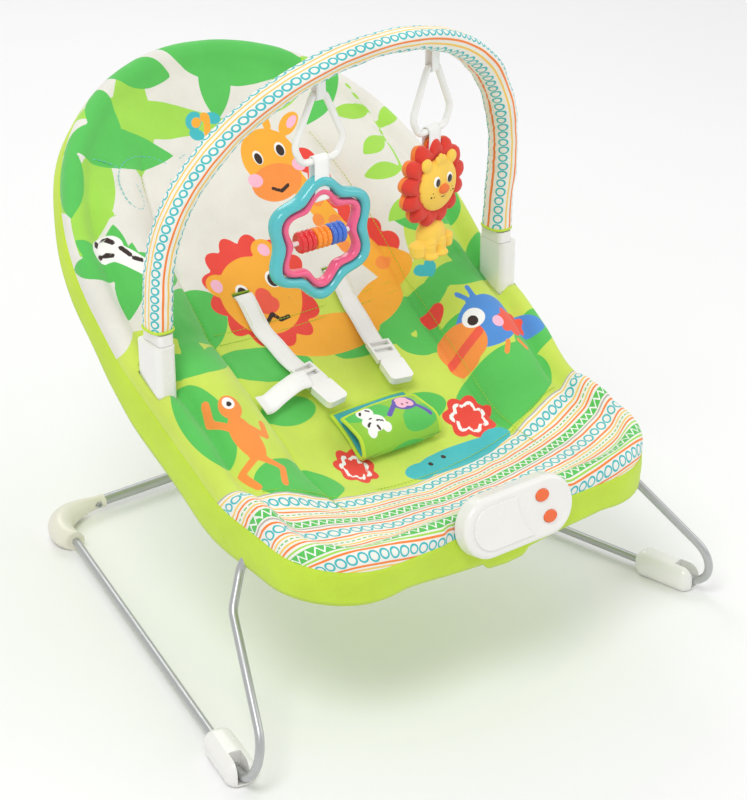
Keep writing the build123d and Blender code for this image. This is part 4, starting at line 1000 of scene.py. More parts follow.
# ------------------------------------------------------------------ finishes
MAT = {
    "cover_print": printed_cloth("printed_cover_cloth", LIME, COVER_LAYERS, BAND_ROWS, row_edge=96),
    "lime_cloth": plain_cloth("lime_cloth", LIME_DEEP),
    "lime_edge": plain_cloth("lime_binding_cloth", (196, 226, 66), crease=0.8),
    "sleeve_print": printed_cloth("striped_sleeve_cloth", PALE, (), SLEEVE_ROWS),
    "white_plastic": plastic("white_gloss_plastic", (240, 239, 235), 0.16, 0.3),
    "unit_white": plastic("housing_white_plastic", (238, 237, 232), 0.22, 0.34),
    "ivory": plastic("ivory_plastic", (232, 228, 214), 0.3, 0.42),
    "orange": plastic("orange_button_plastic", (240, 104, 44), 0.22, 0.32),
    "turquoise": plastic("turquoise_ring_plastic", (84, 190, 196), 0.14, 0.24, soften=0.05),
    "pink": plastic("pink_ring_plastic", (240, 96, 138), 0.14, 0.24, soften=0.05),
    "red_bead": plastic("red_bead_plastic", (226, 48, 50), 0.12, 0.22),
    "orange_bead": plastic("orange_bead_plastic", (250, 146, 36), 0.12, 0.22),
    "blue_bead": plastic("blue_bead_plastic", (64, 112, 208), 0.12, 0.22),
    "stand": metal("stand_paint", (186, 188, 188), 0.3, metallic=0.65),
    "tube": metal("seat_tube_paint", (190, 192, 192), 0.32, metallic=0.6),
    "zinc": metal("zinc_screw_steel", (176, 178, 180), 0.3),
    "brass": metal("brass_weight", (180, 150, 84), 0.35),
    "board": plastic("green_board", (34, 104, 66), 0.3, 0.5),
    "cell": plastic("cell_wrap", (52, 56, 66), 0.25, 0.35),
    "webbing": plain_cloth("strap_webbing", (246, 246, 243), 700.0, crease=0.1),
    "teal_cloth": plain_cloth("teal_cloth", (66, 172, 176)),
    "mane": plain_cloth("red_mane_cloth", (222, 62, 48), crease=0.9),
    "mane_back": plain_cloth("orange_mane_cloth", (246, 132, 52), crease=0.9),
    "face": plain_cloth("yellow_face_cloth", (250, 206, 84), crease=0.6),
    "face_nose": plain_cloth("orange_nose_cloth", (240, 120, 56)),
    "green_tape": plain_cloth("green_tape_cloth", (128, 200, 84), 900.0, crease=0.2),
    "eye": plastic("dark_thread", (46, 34, 32), 0.3, 0.5),
    "eye_white": plastic("white_thread", (248, 248, 244), 0.45, 0.6),
    "thread": plain_cloth("pale_thread", (236, 238, 200), 2200.0, crease=0.1),
    "lime_thread": plain_cloth("lime_thread", (168, 206, 48), 2200.0, crease=0.1),
    "teal_thread": plain_cloth("teal_thread", (120, 200, 196), 2200.0, crease=0.1),
}

CAD_FINISHES = {
    "stand": ["base_rail_left", "base_rail_right", "leg_left", "leg_right", "rear_cross_tube"],
    "tube": ["back_tube", "front_tube"],
    "ivory": ["rear_corner_left", "rear_corner_right"],
    "white_plastic": [
        "front_foot_left", "front_foot_right", "side_joint_left", "side_joint_right", "toy_bar_socket_left",
        "toy_bar_socket_right", "front_tube_clip_left", "front_tube_clip_right", "toy_link_left",
        "toy_link_right",
        "toy_loops", "toy_bar_core", "buckle_socket_left", "buckle_socket_right", "buckle_tongue_left",
        "buckle_tongue_right", "rattle_axle"],
    "unit_white": ["unit_front_cover", "unit_rear_housing", "battery_door", "mounting_clip"],
    "zinc": ["rear_corner_screws", "seat_frame_screws", "housing_screws", "battery_contacts", "motor_case"],
    "brass": ["motor_weight"],
    "orange": ["upper_button", "lower_button"],
    "board": ["circuit_board"],
    "cell": ["battery_cells"],
}


def finish_cad():
    for finish, names in CAD_FINISHES.items():
        for name in names:
            if name in NODES:
                paint(NODES[name], MAT[finish])


# ------------------------------------------------------------------ the skirt round the cover
SKIRT_T = 1.5 * MM
SKIRT_DROPS = ((0, 38), (60, 32), (110, 28), (150, 32), (230, 38), (300, 40), (420, 34), (520, 24),
               (600, 17),
               (700, 13), (900, 12))         # run round the edge from the front, and drop, in mm
SKIRT_LEVELS = 9


def edge_ring():
    """Stations all the way round the cover's edge: x, s, outward normal and the run from the front."""
    half = [(u * OUT_X[0], 0.0, 0.0, -1.0) for u in np.linspace(0, 1, 40)[:-1]]
    half += list(zip(OUT_X, OUT_S, OUT_NX, OUT_NS))
    steps = [math.hypot(b[0] - a[0], b[1] - a[1]) for a, b in zip(half, half[1:])]
    runs = np.concatenate([[0], np.cumsum(steps)])
    right = [(*p, r) for p, r in zip(half, runs)]
    return right + [(-x, s, -nx, ns, -r) for x, s, nx, ns, r in right[-2:0:-1]]


def side_band():
    """The lime band that hangs from the cover's outer seam all the way round."""
    ring = edge_ring()
    vertices, us, vs = [], [], []
    for x, s, nx, ns, run in ring:
        drop = along(SKIRT_DROPS, abs(run))
        at_front = s < 5 * MM
        top = -7.5 * MM
        if at_front:
            top -= 6.5 * MM * float(1 - smooth(20 * MM, 26 * MM, abs(x)))
        for k in range(2 * SKIRT_LEVELS):
            inner = k >= SKIRT_LEVELS
            t = ((2 * SKIRT_LEVELS - 1 - k) if inner else k) / (SKIRT_LEVELS - 1)
            wave = noise.noise(Vector((run * 13, t * 1.2, 5.0)))
            out = (10.3 + 1.4 * sin(t * pi) + 2.6 * t * wave + 0.8 * t) * MM
            hem = 0.7 * MM * (t > 0.86)
            out += hem - (SKIRT_T + 2 * hem) * inner
            h = top - (drop + 1.5 * MM * wave) * t
            along_s = s + ns * out
            if at_front and abs(x) < UNIT_HALF + 12 * MM:
                along_s = float(clear_of_unit(x, along_s + SKIRT_T * inner, h))
            vertices.append(over_frame(x + nx * out, along_s, h))
            us.append(run)
            vs.append(t * drop)
    faces = ring_faces(len(ring), 2 * SKIRT_LEVELS, closed=True, along_first=True)
    band = new_object("side_band", vertices, faces)
    metric_uv(band, us, vs)
    finish_normals(band)
    done(band, "seat", MAT["lime_edge"], "lime_fabric", "front_binding")
    return band


# ------------------------------------------------------------------ the toy bar's sleeve
SLEEVE_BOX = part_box("toy_bar_sleeve")
SLEEVE_A, SLEEVE_B = 11.5 * MM, 14.5 * MM
BAR_HALF = SLEEVE_BOX[1][0] - SLEEVE_A
SPRING_Z = SLEEVE_BOX[1][2] - SLEEVE_A - BAR_HALF
LEAN_Z = SOCKET[1][2] - 3 * MM
LEAN_R = 470 * MM
LEAN_Y = (SOCKET[0][1] + SOCKET[1][1]) / 2 - LEAN_R
SLEEVE_FOOT = SLEEVE_BOX[0][2]


def bar_point(run, a, b):
    """A point of the toy bar: run along it from its top, a outwards and b towards the back."""
    quarter = BAR_HALF * pi / 2
    side = 1 if run >= 0 else -1
    if abs(run) < quarter:
        phi = abs(run) / BAR_HALF
        x, z = (BAR_HALF + a) * sin(phi), SPRING_Z + (BAR_HALF + a) * cos(phi)
    else:
        x, z = BAR_HALF + a, SPRING_Z - (abs(run) - quarter)
    return Vector((side * x, LEAN_Y + math.sqrt((LEAN_R + b) ** 2 - (z - LEAN_Z) ** 2), z))


def bar_sleeve():
    """The padded sleeve: a soft rounded tube with a gathered seam inside the arch and bound hems."""
    reach = BAR_HALF * pi / 2 + SPRING_Z - SLEEVE_FOOT
    rings, around = 420, 48
    angles = [pi + 2 * pi * k / around for k in range(around)]
    section = []
    for angle in angles:
        c, s = cos(angle), sin(angle)
        section.append((math.copysign(abs(c) ** 0.72, c), math.copysign(abs(s) ** 0.72, s)))
    lengths = [0.0]
    for k in range(around):
        (a0, b0), (a1, b1) = section[k], section[(k + 1) % around]
        lengths.append(lengths[-1] + math.hypot((a1 - a0) * SLEEVE_A, (b1 - b0) * SLEEVE_B))
    vertices, us, vs = [], [], []
    for i in range(rings):
        run = -reach + 2 * reach * i / (rings - 1)
        near_end = min(1.0, (reach - abs(run)) / (9 * MM))
        plump = 0.90 + 0.05 * math.sqrt(max(near_end, 0)) + 0.012 * sin(run * 96)
        for k, (a, b) in enumerate(section):
            v = min(lengths[k], lengths[-1] - lengths[k])
            gather = math.exp(-v / (7 * MM)) * noise.noise(Vector((run * 190, 2.0, 0))) * 1.1 * MM
            crease = noise.noise(Vector((run * 60, k / around * 5, 1.5))) * 0.8 * MM
            pinch = 1.5 * MM * math.exp(-(v / (2.2 * MM)) ** 2)
            size = 1 + (gather + crease - pinch) / SLEEVE_A
            vertices.append(bar_point(run, a * SLEEVE_A * plump * size,
                                      b * SLEEVE_B * (plump + 0.03) * size))
            us.append(run)
            vs.append(v)
    faces = ring_faces(rings, around, along_first=True)
    for i, run in ((0, -reach), (rings - 1, reach)):
        base = len(vertices)
        for k, (a, b) in enumerate(section):
            vertices.append(bar_point(run * 0.997, a * SLEEVE_A * 0.6, b * SLEEVE_B * 0.8))
            us.append(run)
            vs.append(50 * MM)
        first = i * around
        faces += [(first + k, first + (k + 1) % around, base + (k + 1) % around, base + k)
                  for k in range(around)]
        faces.append(tuple(base + k for k in range(around)))
    sleeve = new_object("padded_bar_sleeve", vertices, faces)
    metric_uv(sleeve, us, vs)
    finish_normals(sleeve, merge=0)
    done(sleeve, "toy_bar", MAT["sleeve_print"], "sleeve_print", "toy_bar_sleeve")
    for side, name in ((-1, "left"), (1, "right")):
        line = [bar_point(side * (reach - 1.2 * MM), a * SLEEVE_A * 0.97, b * SLEEVE_B * 0.97)
                for a, b in section]
        hem = tube(f"sleeve_hem_{name}", line, 1.3 * MM, closed=True, sides=10)
        done(hem, "toy_bar", MAT["lime_edge"], "lime_fabric")
    return sleeve


# ------------------------------------------------------------------ harness straps
WEBBING_W, WEBBING_T = 19 * MM, 1.4 * MM


def strap(side):
    """One harness strap, from behind its slot down to its buckle."""
    route = [(52.0, 336.5, -13), (52.0, 333.6, -2), (51.8, 328, 3.4), (51, 297.5, 3.2), (48.8, 279, 3.2),
             (46.6, 260, 3.6), (43.8, 242, 6.8), (41.6, 227, 10.9), (41, 219, 11.6)]
    points = smooth_line([cover_point(side * x * MM, s * MM, lift * MM) for x, s, lift in route], 90)
    acrosses = [Vector((1, 0, 0.0))] * len(points)
    band = ribbon("harness_strap_cloth_" + side_name(side), points, acrosses, WEBBING_W, WEBBING_T)
    return done(band, "seat", MAT["webbing"], "webbing", "harness_strap_" + side_name(side))


def strap_tail():
    """The loose end of the left strap, which sticks out beside its buckle."""
    points = smooth_line([cover_point(x * MM, s * MM, lift * MM) for x, s, lift in (
        (-48, 226, 17), (-62, 226, 17), (-80, 222, 12), (-98, 216, 8.5), (-112, 211, 7.0))], 40)
    acrosses = [Vector((0.1, 0.86, 0.5))] * len(points)
    tail = ribbon("harness_strap_tail", points, acrosses, WEBBING_W, WEBBING_T)
    return done(tail, "seat", MAT["webbing"], "webbing")


# ------------------------------------------------------------------ the folded crotch pad
PAD_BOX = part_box("crotch_pad")


def pad_print(u, v):
    """Shapes on the pad's cloth; u across and v along it in millimetres."""
    oval, stroke = partial(ellipse, u, v), partial(capsule, u, v)
    leaves = any_of(oval(-20, 8, 24, 12, 20), oval(26, 30, 22, 12, -15), oval(6, 56, 20, 8))
    cub = any_of(oval(-22, 22, 11, 10), oval(-30, 31, 4.4, 4.4), oval(-14, 31, 4.4, 4.4),
                 oval(-22, 8, 8, 8))
    bars = any_of(*(stroke(*p, 1.2) for p in (
        (-30, 25, -27, 22), (-14, 25, -17, 22), (-22, 31, -22, 27), (-27, 8, -25, 5), (-17, 8, -19, 5))))
    ape = any_of(oval(20, 12, 12, 10), stroke(8, 12, -4, 22, 2.4), stroke(28, 16, 36, 30, 2.4))
    face = any_of(oval(16, 13, 5, 5.4), oval(24, 13, 5, 5.4), oval(20, 7, 7, 4))
    dots = any_of(oval(-26, 22, 1.4, 1.7), oval(-18, 22, 1.4, 1.7), oval(17, 13, 1.2, 1.5),
                  oval(23, 13, 1.2, 1.5), oval(-22, 17, 2, 1.3))
    return {"leaf": leaves, "fur": cub, "dark": bars, "violet": ape, "rose": face, "ink": dots}


def crotch_pad():
    """The padded crotch strap, folded over on itself in front of the buckles."""
    gap = 5.4 * MM
    rear = cover_point(0, 190 * MM, gap)
    front = cover_point(0, 142 * MM, gap)
    low_y, high_y, top_z = PAD_BOX[0][1] + 3 * MM, PAD_BOX[1][1], PAD_BOX[1][2]
    route = [rear, rear.lerp(front, 0.5), front, Vector((0, low_y, front.z + 6 * MM)),
             Vector((0, front.y - 2 * MM, top_z - 8 * MM)), Vector((0, front.y + 14 * MM, top_z - 3 * MM)),
             Vector((0, high_y - 22 * MM, top_z - 0.5 * MM))]
    count, columns = 60, 49
    line = smooth_line(route, count)
    run = [0.0]
    for a, b in zip(line, line[1:]):
        run.append(run[-1] + (b - a).length)
    vertices, us, vs = [], [], []
    for face_side in (1, -1):
        for i, p in enumerate(line):
            tangent = (line[min(i + 1, count - 1)] - line[max(i - 1, 0)]).normalized()
            normal = Vector((1, 0, 0)).cross(tangent).normalized()
            for j in range(columns):
                u = -1 + 2 * j / (columns - 1)
                edge = (1 - u**4) ** 0.5 * min(1.0, (run[i] / (4 * MM)) ** 0.5,
                                               ((run[-1] - run[i]) / (4 * MM)) ** 0.5)
                puff = (0.5 + 2.6 * edge) * MM
                wave = noise.noise(Vector((u * 1.6, run[i] * 26, 4))) * 1.1 * MM
                droop = -3.5 * MM * u * u * (run[i] / run[-1] > 0.55)
                x = u * 42 * MM * (1 - 0.03 * sin(run[i] * 70))
                point = p + normal * (face_side * puff + wave) + Vector((x, 0, droop))
                vertices.append(point)
                us.append(x)
                vs.append(run[-1] - run[i])
    n = count * columns
    faces = []
    for side, base in ((1, 0), (-1, n)):
        for i in range(count - 1):
            for j in range(columns - 1):
                a = base + i * columns + j
                quad = (a, a + 1, a + columns + 1, a + columns)
                faces.append(quad if side > 0 else quad[::-1])
    rim = (list(range(columns)) + [i * columns + columns - 1 for i in range(1, count)]
           + [(count - 1) * columns + j for j in range(columns - 2, -1, -1)]
           + [i * columns for i in range(count - 2, 0, -1)])
    faces += [(a, b, b + n, a + n) for a, b in zip(rim, rim[1:] + rim[:1])]
    pad = new_object("padded_crotch_strap", vertices, faces)
    metric_uv(pad, us, vs)
    set_layers(pad, pad_print(np.array(us) / MM, np.array(vs) / MM))
    finish_normals(pad, merge=0)
    paint(pad, MAT["pad_print"], MAT["teal_cloth"])
    cut = (count - 1) * (columns - 1)
    mark_faces(pad, cut, 2 * cut)
    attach(pad, "seat")
    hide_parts("crotch_pad")
    edge_line = [(vertices[k] + vertices[k + n]) / 2 for k in rim]
    binding = tube("pad_binding", edge_line, 1.9 * MM, closed=True, sides=10)
    done(binding, "seat", MAT["lime_edge"], "lime_fabric")
    return pad


# ------------------------------------------------------------------ toys
TOY_X = 61 * MM
LOOP_Y = (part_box("toy_link_left")[0][1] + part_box("toy_link_left")[1][1]) / 2
LINK_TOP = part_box("toy_link_left")[1][2] - 3.1 * MM
LINK_H = 57.8 * MM
TAPE_T = 1.1 * MM
RATTLE_DROP, MANE_DROP, LION_TURN = 71 * MM, 48 * MM, 12.0


def hung(side, turn, drop):
    """Turns a toy's own (right, up, front) offsets into a place, drop under its link."""
    a = radians(turn) * side
    right, front = Vector((cos(a), sin(a), 0)), Vector((sin(a), -cos(a), 0))
    origin = Vector((side * TOY_X, LOOP_Y, LINK_TOP - LINK_H - drop))
    return lambda x, y, z=0.0: origin + right * (x * MM) + Vector((0, 0, y * MM)) + front * (z * MM)


def lobed_radius(angle, radius, lobes=6, rise=4.5):
    return radius + rise * cos(lobes * (angle - pi / 2))


def rattle_ring(name, outside, inside, half, material, slot, node):
    """A round-section lobed ring."""
    place = hung(-1, 0, RATTLE_DROP)
    middle, thick = (outside + inside) / 2, (outside - inside) / 2
    around, sides = 240, 28
    vertices = []
    for i in range(around):
        angle = 2 * pi * i / around
        for k in range(sides):
            c, s = cos(2 * pi * k / sides), sin(2 * pi * k / sides)
            c, s = math.copysign(abs(c) ** 0.85, c), math.copysign(abs(s) ** 0.85, s)
            r = lobed_radius(angle, middle) + thick * c
            vertices.append(place(r * cos(angle), r * sin(angle), half * s))
    faces = ring_faces(around, sides, closed=True, along_first=True)
    ring = new_object(name, vertices, faces)
    finish_normals(ring)
    return done(ring, "ring_rattle", MAT[material], slot, node)


def lathe(name, profile, place, axis="x", sides=64, ribs=0, depth=0.0):
    """Turns (radius, along) pairs round an axis through place; ribs cut soft grooves along it."""
    vertices = []
    for r, along_axis in profile:
        for k in range(sides):
            angle = 2 * pi * k / sides
            rr = r - depth * (0.5 - 0.5 * cos(ribs * angle)) * (r > 4) if ribs else r
            a, b = rr * cos(angle), rr * sin(angle)
            vertices.append(place(along_axis, a, b) if axis == "x" else place(a, b, along_axis))
    n = len(profile)
    faces = ring_faces(n, sides)
    faces += [tuple(range(sides)), tuple((n - 1) * sides + k for k in range(sides))]
    obj = new_object(name, vertices, faces)
    finish_normals(obj)
    return obj


def ribbed_bead(bead_node, x):
    """Three soft rounded discs in one bead, bored for the axle."""
    place = hung(-1, 0, RATTLE_DROP)
    profile = [(2.3, x - 7.7)]
    for k in range(3):
        middle = x + (k - 1) * 5.13
        for t in np.linspace(0, pi, 11):
            profile.append((7.6 + 2.3 * sin(t), middle - 2.5 * cos(t)))
    profile.append((2.3, x + 7.7))
    bead = lathe(bead_node + "_turned", profile, place, ribs=16, depth=0.5)
    return done(bead, bead_node, MAT[bead_node], "bead_" + bead_node.split("_")[0], bead_node)


def toy_tape(name, side, turn, drop, low, body, node):
    """A folded tape from a toy up round its link's bottom bar."""
    place = hung(side, turn, drop)
    bar = drop / MM
    loop = [(bar + 4.15 * sin(t), 4.15 * cos(t)) for t in np.linspace(0, pi, 15)]
    up = [(low, 3.6), (low + 6, 3.9), (bar - 6, 4.2)]
    line = up + loop + [(y, -z) for y, z in up[::-1]]
    points = smooth_line([place(0, y, z) for y, z in line], 90)
    a = radians(turn) * side
    tape = ribbon(name, points, [Vector((cos(a), sin(a), 0))] * len(points), 15 * MM, TAPE_T)
    return done(tape, body, MAT["webbing"], "webbing", node)


def toy_loop(side, turn):
    """The short tape that carries a link under the sleeve."""
    place = hung(side, turn, -LINK_H)
    loop = [(-3.9 * sin(t), 3.9 * cos(t)) for t in np.linspace(0, pi, 15)]
    line = [(17.5, 3.7), (8, 3.9)] + loop + [(8, -3.9), (17.5, -3.7)]
    points = smooth_line([place(0, y, z) for y, z in line], 70)
    a = radians(turn) * side
    across = [Vector((cos(a), sin(a), 0))] * len(points)
    tape = ribbon("link_loop_" + side_name(side), points, across, 9 * MM, TAPE_T)
    return done(tape, "toy_bar", MAT["webbing"], "webbing", *(["toy_loops"] if side > 0 else []))


def lion_mane():
    """A plump scalloped mane in two halves, red in front and orange behind."""
    place = hung(1, LION_TURN, MANE_DROP)
    sides, scallops = 260, 13
    levels = [(0.0, -9.0), (0.45, -9.6), (0.80, -8.6), (0.95, -5.6), (1.0, -1.2), (0.985, 0.0), (1.0, 1.2),
              (0.97, 5.0), (0.88, 8.2), (0.74, 8.6), (0.66, 6.5), (0.0, 6.0)]
    vertices = []
    for share, z in levels:
        for k in range(sides):
            angle = 2 * pi * k / sides
            lobe = abs(cos(scallops * (angle - pi / 2) / 2)) ** 0.7
            r = 32.5 + 9.2 * lobe if share > 0.7 else 36
            vertices.append(place(r * share * cos(angle), r * share * sin(angle), z))
    mane = new_object("scalloped_mane", vertices, ring_faces(len(levels), sides))
    finish_normals(mane)
    paint(mane, MAT["mane"], MAT["mane_back"])
    front = place(0, 0, 1) - place(0, 0, 0)
    middle = place(0, 0, 0)
    for polygon in mane.data.polygons:
        polygon.material_index = 1 if (polygon.center - middle).dot(front) < 0 else 0
    return done(mane, "lion_toy", None, "mane_red", "lion_mane")


def blob(place, cx, cy, cz, rx, ry, rz, rings=20, sides=32):
    """Points and faces of an ellipsoid at one place of a toy."""
    vertices = []
    for i in range(rings + 1):
        t = pi * i / rings
        for k in range(sides):
            p = 2 * pi * k / sides
            vertices.append(place(cx + rx * sin(t) * cos(p), cy + ry * sin(t) * sin(p),
                                  cz + rz * cos(t)))
    return vertices, ring_faces(rings + 1, sides, along_first=True)


def blobs(name, place, shapes, fuse=0.0):
    """Ellipsoids in one mesh; fuse joins them with a voxel remesh of that size."""
    vertices, faces = [], []
    for shape in shapes:
        v, f = blob(place, *shape)
        base = len(vertices)
        vertices += v
        faces += [tuple(base + k for k in face) for face in f]
    obj = new_object(name, vertices, faces)
    finish_normals(obj)
    if fuse:
        remesh = obj.modifiers.new("fuse", "REMESH")
        remesh.mode, remesh.voxel_size = "VOXEL", fuse * MM
        relax = obj.modifiers.new("relax", "SMOOTH")
        relax.factor, relax.iterations = 0.5, 4
        apply_modifiers(obj)
        obj.data.polygons.foreach_set("use_smooth", [True] * len(obj.data.polygons))
    return obj


def lion_face():
    place = hung(1, LION_TURN, MANE_DROP)
    face = blobs("lion_cloth_face", place, [
        (0, -1, 7.5, 25, 24.5, 7.5), (-17, 21, 9, 6.4, 6.4, 3.6), (17, 21, 9, 6.4, 6.4, 3.6),
        (0, 23, 11, 3.4, 6, 2.4), (4.5, 22, 11, 2.6, 5, 2.2), (-4.5, 22, 11, 2.6, 5, 2.2)], fuse=0.8)
    done(face, "lion_toy", MAT["face"], "face_yellow", "lion_face")
    nose = blobs("lion_nose", place, [(0, -3.5, 15.2, 6.4, 4.6, 3.6)])
    done(nose, "lion_toy", MAT["face_nose"], "orange_plastic")
    white = blobs("lion_eye_whites", place, [(x, 4.5, 14.0, 4.2, 5.2, 1.5) for x in (-8.5, 8.5)])
    done(white, "lion_toy", MAT["eye_white"], "white_plastic")
    dark = [(-8.2, 4.2, 15.0, 2.9, 3.8, 1.2), (8.2, 4.2, 15.0, 2.9, 3.8, 1.2)]
    dark += [(side * x, y, 13.2, 0.75, 0.75, 0.9) for side in (-1, 1)
             for x, y in ((13, -5), (15, -8.5), (11.5, -9))]
    eyes = blobs("lion_eyes", place, dark)
    done(eyes, "lion_toy", MAT["eye"], "orange_plastic")
    smile = [place(x, -8.4 - 2.6 * cos(x / 6.5 * pi / 2), 14.2 - abs(x) * 0.10)
             for x in np.linspace(-6.5, 6.5, 30)]
    mouth = tube("lion_smile", smile, 0.5 * MM, sides=8)
    done(mouth, "lion_toy", MAT["eye"], "orange_plastic")


def lion_body():
    place = hung(1, LION_TURN, MANE_DROP)
    low = -43.0
    shapes = [(0, low - 7, 0, 17, 15, 10.5)]
    leg_r = 6.4
    for x in (-8, 6):
        shapes += [(x, low - 12 - 3.6 * k, 5, leg_r + (0.9 if k % 2 else 0), 4.2, leg_r + 0.6)
                   for k in range(4)]
        shapes.append((x, low - 25, 6.5, leg_r + 1.4, 3.6, leg_r + 1.6))
    shapes += [(side * 19.5, low - 14 - 3.4 * k, 1, 7.6 - 0.5 * k, 4.6, 7.6)
               for side in (-1, 1) for k in range(3)]
    body = blobs("lion_cloth_body", place, shapes, fuse=0.9)
    return done(body, "lion_toy", MAT["face"], "face_yellow", "lion_body")


def make_toys():
    rattle_ring("lobed_ring_outer", 53, 42.6, 6.9, "turquoise", "turquoise_plastic", "rattle_outer_ring")
    rattle_ring("lobed_ring_inner", 42.1, 34.6, 5.4, "pink", "pink_plastic", "rattle_inner_ring")
    for bead, x in (("red_bead", -16), ("orange_bead", 0), ("blue_bead", 16)):
        ribbed_bead(bead, x)
    toy_tape("rattle_tape_cloth", -1, 0, RATTLE_DROP, 35, "ring_rattle", "rattle_tape")
    toy_tape("lion_tape_cloth", 1, LION_TURN, MANE_DROP, 30, "lion_toy", "lion_tape")
    toy_loop(-1, 0)
    toy_loop(1, LION_TURN)
    lion_mane()
    lion_face()
    lion_body()


# ------------------------------------------------------------------ stitches, as one made tree
def stitch_tree():
    """Short thread stitches set along a line, from a pitch, a length and a thread radius."""
    tree = bpy.data.node_groups.new("thread_stitches", "GeometryNodeTree")
    tree.interface.new_socket(name="Line", in_out="INPUT", socket_type="NodeSocketGeometry")
    for label, value in (("Pitch", 3.4 * MM), ("Stitch length", 2.2 * MM), ("Thread radius", 0.35 * MM)):
        socket = tree.interface.new_socket(name=label, in_out="INPUT", socket_type="NodeSocketFloat")
        socket.default_value = value
    tree.interface.new_socket(name="Thread", in_out="INPUT", socket_type="NodeSocketMaterial")
    tree.interface.new_socket(name="Stitches", in_out="OUTPUT", socket_type="NodeSocketGeometry")
    graph = Graph(tree)
    given, out = graph.node("NodeGroupInput").outputs, graph.node("NodeGroupOutput").inputs
    curve = graph.node("GeometryNodeMeshToCurve")
    graph.put(curve.inputs["Mesh"], given["Line"])
    points = graph.node("GeometryNodeCurveToPoints", mode="LENGTH")
    graph.put(points.inputs["Curve"], curve.outputs["Curve"])
    graph.put(points.inputs["Length"], given["Pitch"])
    stitch = graph.node("GeometryNodeMeshCylinder")
    stitch.inputs["Vertices"].default_value = 8
    stitch.inputs["Side Segments"].default_value = 1
    graph.put(stitch.inputs["Radius"], given["Thread radius"])
    graph.put(stitch.inputs["Depth"], given["Stitch length"])
    turned = graph.node("FunctionNodeAlignRotationToVector", axis="Z")
    graph.put(turned.inputs["Vector"], points.outputs["Tangent"])
    placed = graph.node("GeometryNodeInstanceOnPoints")
    graph.put(placed.inputs["Points"], points.outputs["Points"])
    graph.put(placed.inputs["Instance"], stitch.outputs["Mesh"])
    graph.put(placed.inputs["Rotation"], turned.outputs["Rotation"])
    real = graph.node("GeometryNodeRealizeInstances")
    graph.put(real.inputs[0], placed.outputs["Instances"])
    shaded = graph.node("GeometryNodeSetMaterial")
    graph.put(shaded.inputs["Geometry"], real.outputs[0])
    graph.put(shaded.inputs["Material"], given["Thread"])
    graph.put(out["Stitches"], shaded.outputs["Geometry"])
    return tree


STITCHES = stitch_tree()


def socket_of(tree, label):
    return next(item.identifier for item in tree.interface.items_tree if item.name == label)


def stitched(name, lines, body, thread, slot, **sizes):
    """Thread stitches along several lines of points."""
    mesh = bpy.data.meshes.new(name)
    vertices, edges = [], []
    for line in lines:
        base = len(vertices)
        vertices += [tuple(p) for p in line]
        edges += [(base + k, base + k + 1) for k in range(len(line) - 1)]
    mesh.from_pydata(vertices, edges, [])
    obj = bpy.data.objects.new(name, mesh)
    bpy.context.scene.collection.objects.link(obj)
    maker = obj.modifiers.new("stitches", "NODES")
    maker.node_group = STITCHES
    maker[socket_of(STITCHES, "Thread")] = MAT[thread]
    for label, value in sizes.items():
        maker[socket_of(STITCHES, label.replace("_", " "))] = value
    apply_modifiers(obj)
    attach(obj, body)
    return obj


def make_stitches():
    lift = 0.25 * MM
    seam = np.linspace(80 * MM, 470 * MM, 160)
    bolster = [[cover_point(side * (panel_half(s) * BOLSTER_INNER + 3.4 * MM), s, lift) for s in seam]
               for side in (-1, 1)]
    hip = [[cover_point(x, HIP_S + d * MM, lift) for x in np.linspace(-100 * MM, 100 * MM, 60)]
           for d in (-5, 5)]
    band = [[cover_point(x, band_edge(x) + 3 * MM, lift) for x in np.linspace(-165 * MM, 165 * MM, 110)]]
    flight = [[cover_point((-150 + 120 * t + 24 * sin(t * 4 * pi)) * MM,
                           (466 + 30 * cos(t * 4 * pi) - 12 * t) * MM, lift)
               for t in np.linspace(0, 1, 150)]]
    stitched("flight_line", flight, "seat", "teal_thread", "cover_print", Pitch=5.4 * MM,
             Stitch_length=3.4 * MM, Thread_radius=0.5 * MM)
    stitched("cover_stitches", bolster + hip + band, "seat", "lime_thread", "lime_fabric", Pitch=3.6 * MM)
    box = [[cover_point(side * 51.6 * MM + a, s, 4.4 * MM) for s in np.linspace(303 * MM, 323 * MM, 12)]
           for side in (-1, 1) for a in (-7 * MM, 7 * MM)]
    stitched("strap_stitches", box, "seat", "thread", "webbing", Pitch=2.6 * MM, Stitch_length=1.7 * MM)


# ------------------------------------------------------------------ buttons' rims
BUTTON_LEAN = radians(13)


def button_rims():
    for node in ("upper_button", "lower_button"):
        low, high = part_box(node)
        lean = Vector((0, sin(BUTTON_LEAN), cos(BUTTON_LEAN)))
        out = Vector((0, -cos(BUTTON_LEAN), sin(BUTTON_LEAN)))
        middle = Vector([(a + b) / 2 for a, b in zip(low, high)])
        ring = [middle - out * 0.1 * MM + Vector((1, 0, 0)) * 8.4 * MM * cos(t) + lean * 6.7 * MM * sin(t)
                for t in np.linspace(0, 2 * pi, 49)[:-1]]
        rim = tube(node + "_rim", ring, 0.8 * MM, closed=True, sides=12)
        done(rim, "seat", MAT["white_plastic"], "unit_white")


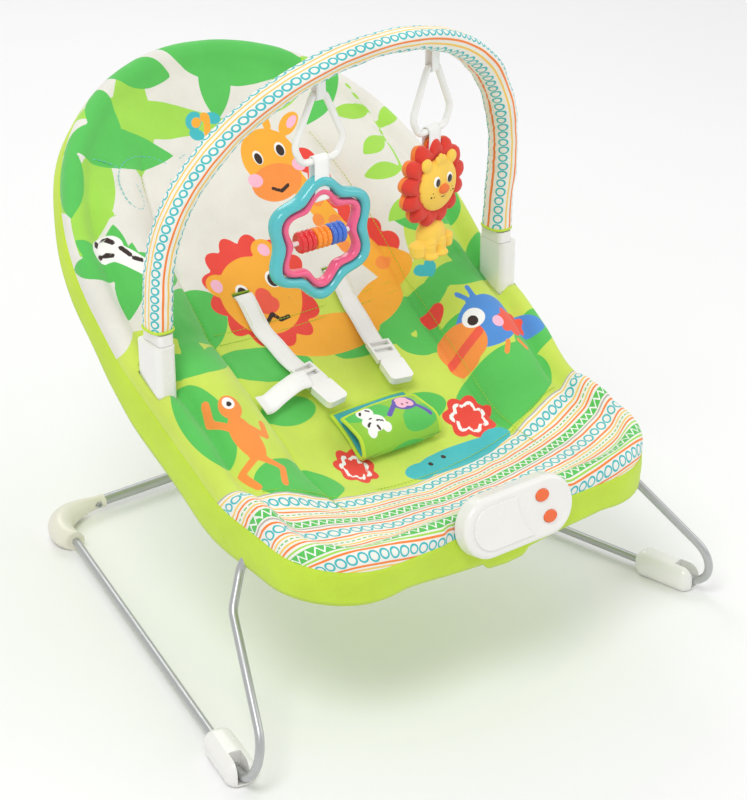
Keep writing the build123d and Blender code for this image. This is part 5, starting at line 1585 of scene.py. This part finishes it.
# ------------------------------------------------------------------ room, light and camera
def floor():
    size = 6.0
    corners = [(-size, -size, 0), (size, -size, 0), (size, size, 0), (-size, size, 0)]
    ground = new_object("studio_floor", corners, [(0, 1, 2, 3)], smooth_faces=False)
    material, graph, shader = new_material("pale_floor")
    shade = graph.noise(coordinates(graph), 2.0, 3.0)
    graph.put(shader["Base Color"], graph.mix(shade, (0.90, 0.90, 0.90, 1), (0.93, 0.93, 0.93, 1)))
    shader["Roughness"].default_value = 0.6
    paint(ground, material)


def light(name, place, target, size, power):
    data = bpy.data.lights.new(name, "AREA")
    data.shape, data.size, data.energy = "DISK", size, power
    lamp = bpy.data.objects.new(name, data)
    lamp.location = place
    lamp.rotation_euler = (Vector(target) - Vector(place)).to_track_quat("-Z", "Y").to_euler()
    bpy.context.scene.collection.objects.link(lamp)


def studio():
    floor()
    world = bpy.data.worlds.new("studio_air")
    bpy.context.scene.world = world
    world.use_nodes = True
    back = world.node_tree.nodes["Background"]
    back.inputs["Color"].default_value = (1.0, 1.0, 1.0, 1)
    back.inputs["Strength"].default_value = 0.72
    target = (0, 0, 0.25)
    light("key_light", (-1.4, -1.0, 2.6), target, 1.2, 30)
    light("fill_light", (2.0, -1.2, 1.4), target, 1.8, 10)
    light("rim_light", (0.6, 2.0, 2.0), target, 1.4, 12)
    bpy.context.scene.view_settings.view_transform = "Standard"


def camera():
    data = bpy.data.cameras.new("camera")
    data.lens, data.sensor_width = 103.7, 36.0
    eye = bpy.data.objects.new("camera", data)
    eye.location = (-1.1398, -1.5498, 1.1668)
    eye.rotation_euler = (radians(90 - 26.72), 0, radians(-37.32))
    bpy.context.scene.collection.objects.link(eye)
    bpy.context.scene.camera = eye


MAT["pad_print"] = printed_cloth("printed_pad_cloth", (150, 206, 66), (
    ("leaf", MID_GREEN), ("fur", WHITE), ("dark", INK), ("violet", PURPLE), ("rose", PINK), ("ink", INK)))
finish_cad()
padded_cover()
side_band()
bar_sleeve()
strap(-1)
strap(1)
strap_tail()
crotch_pad()
make_toys()
make_stitches()
button_rims()
studio()
camera()
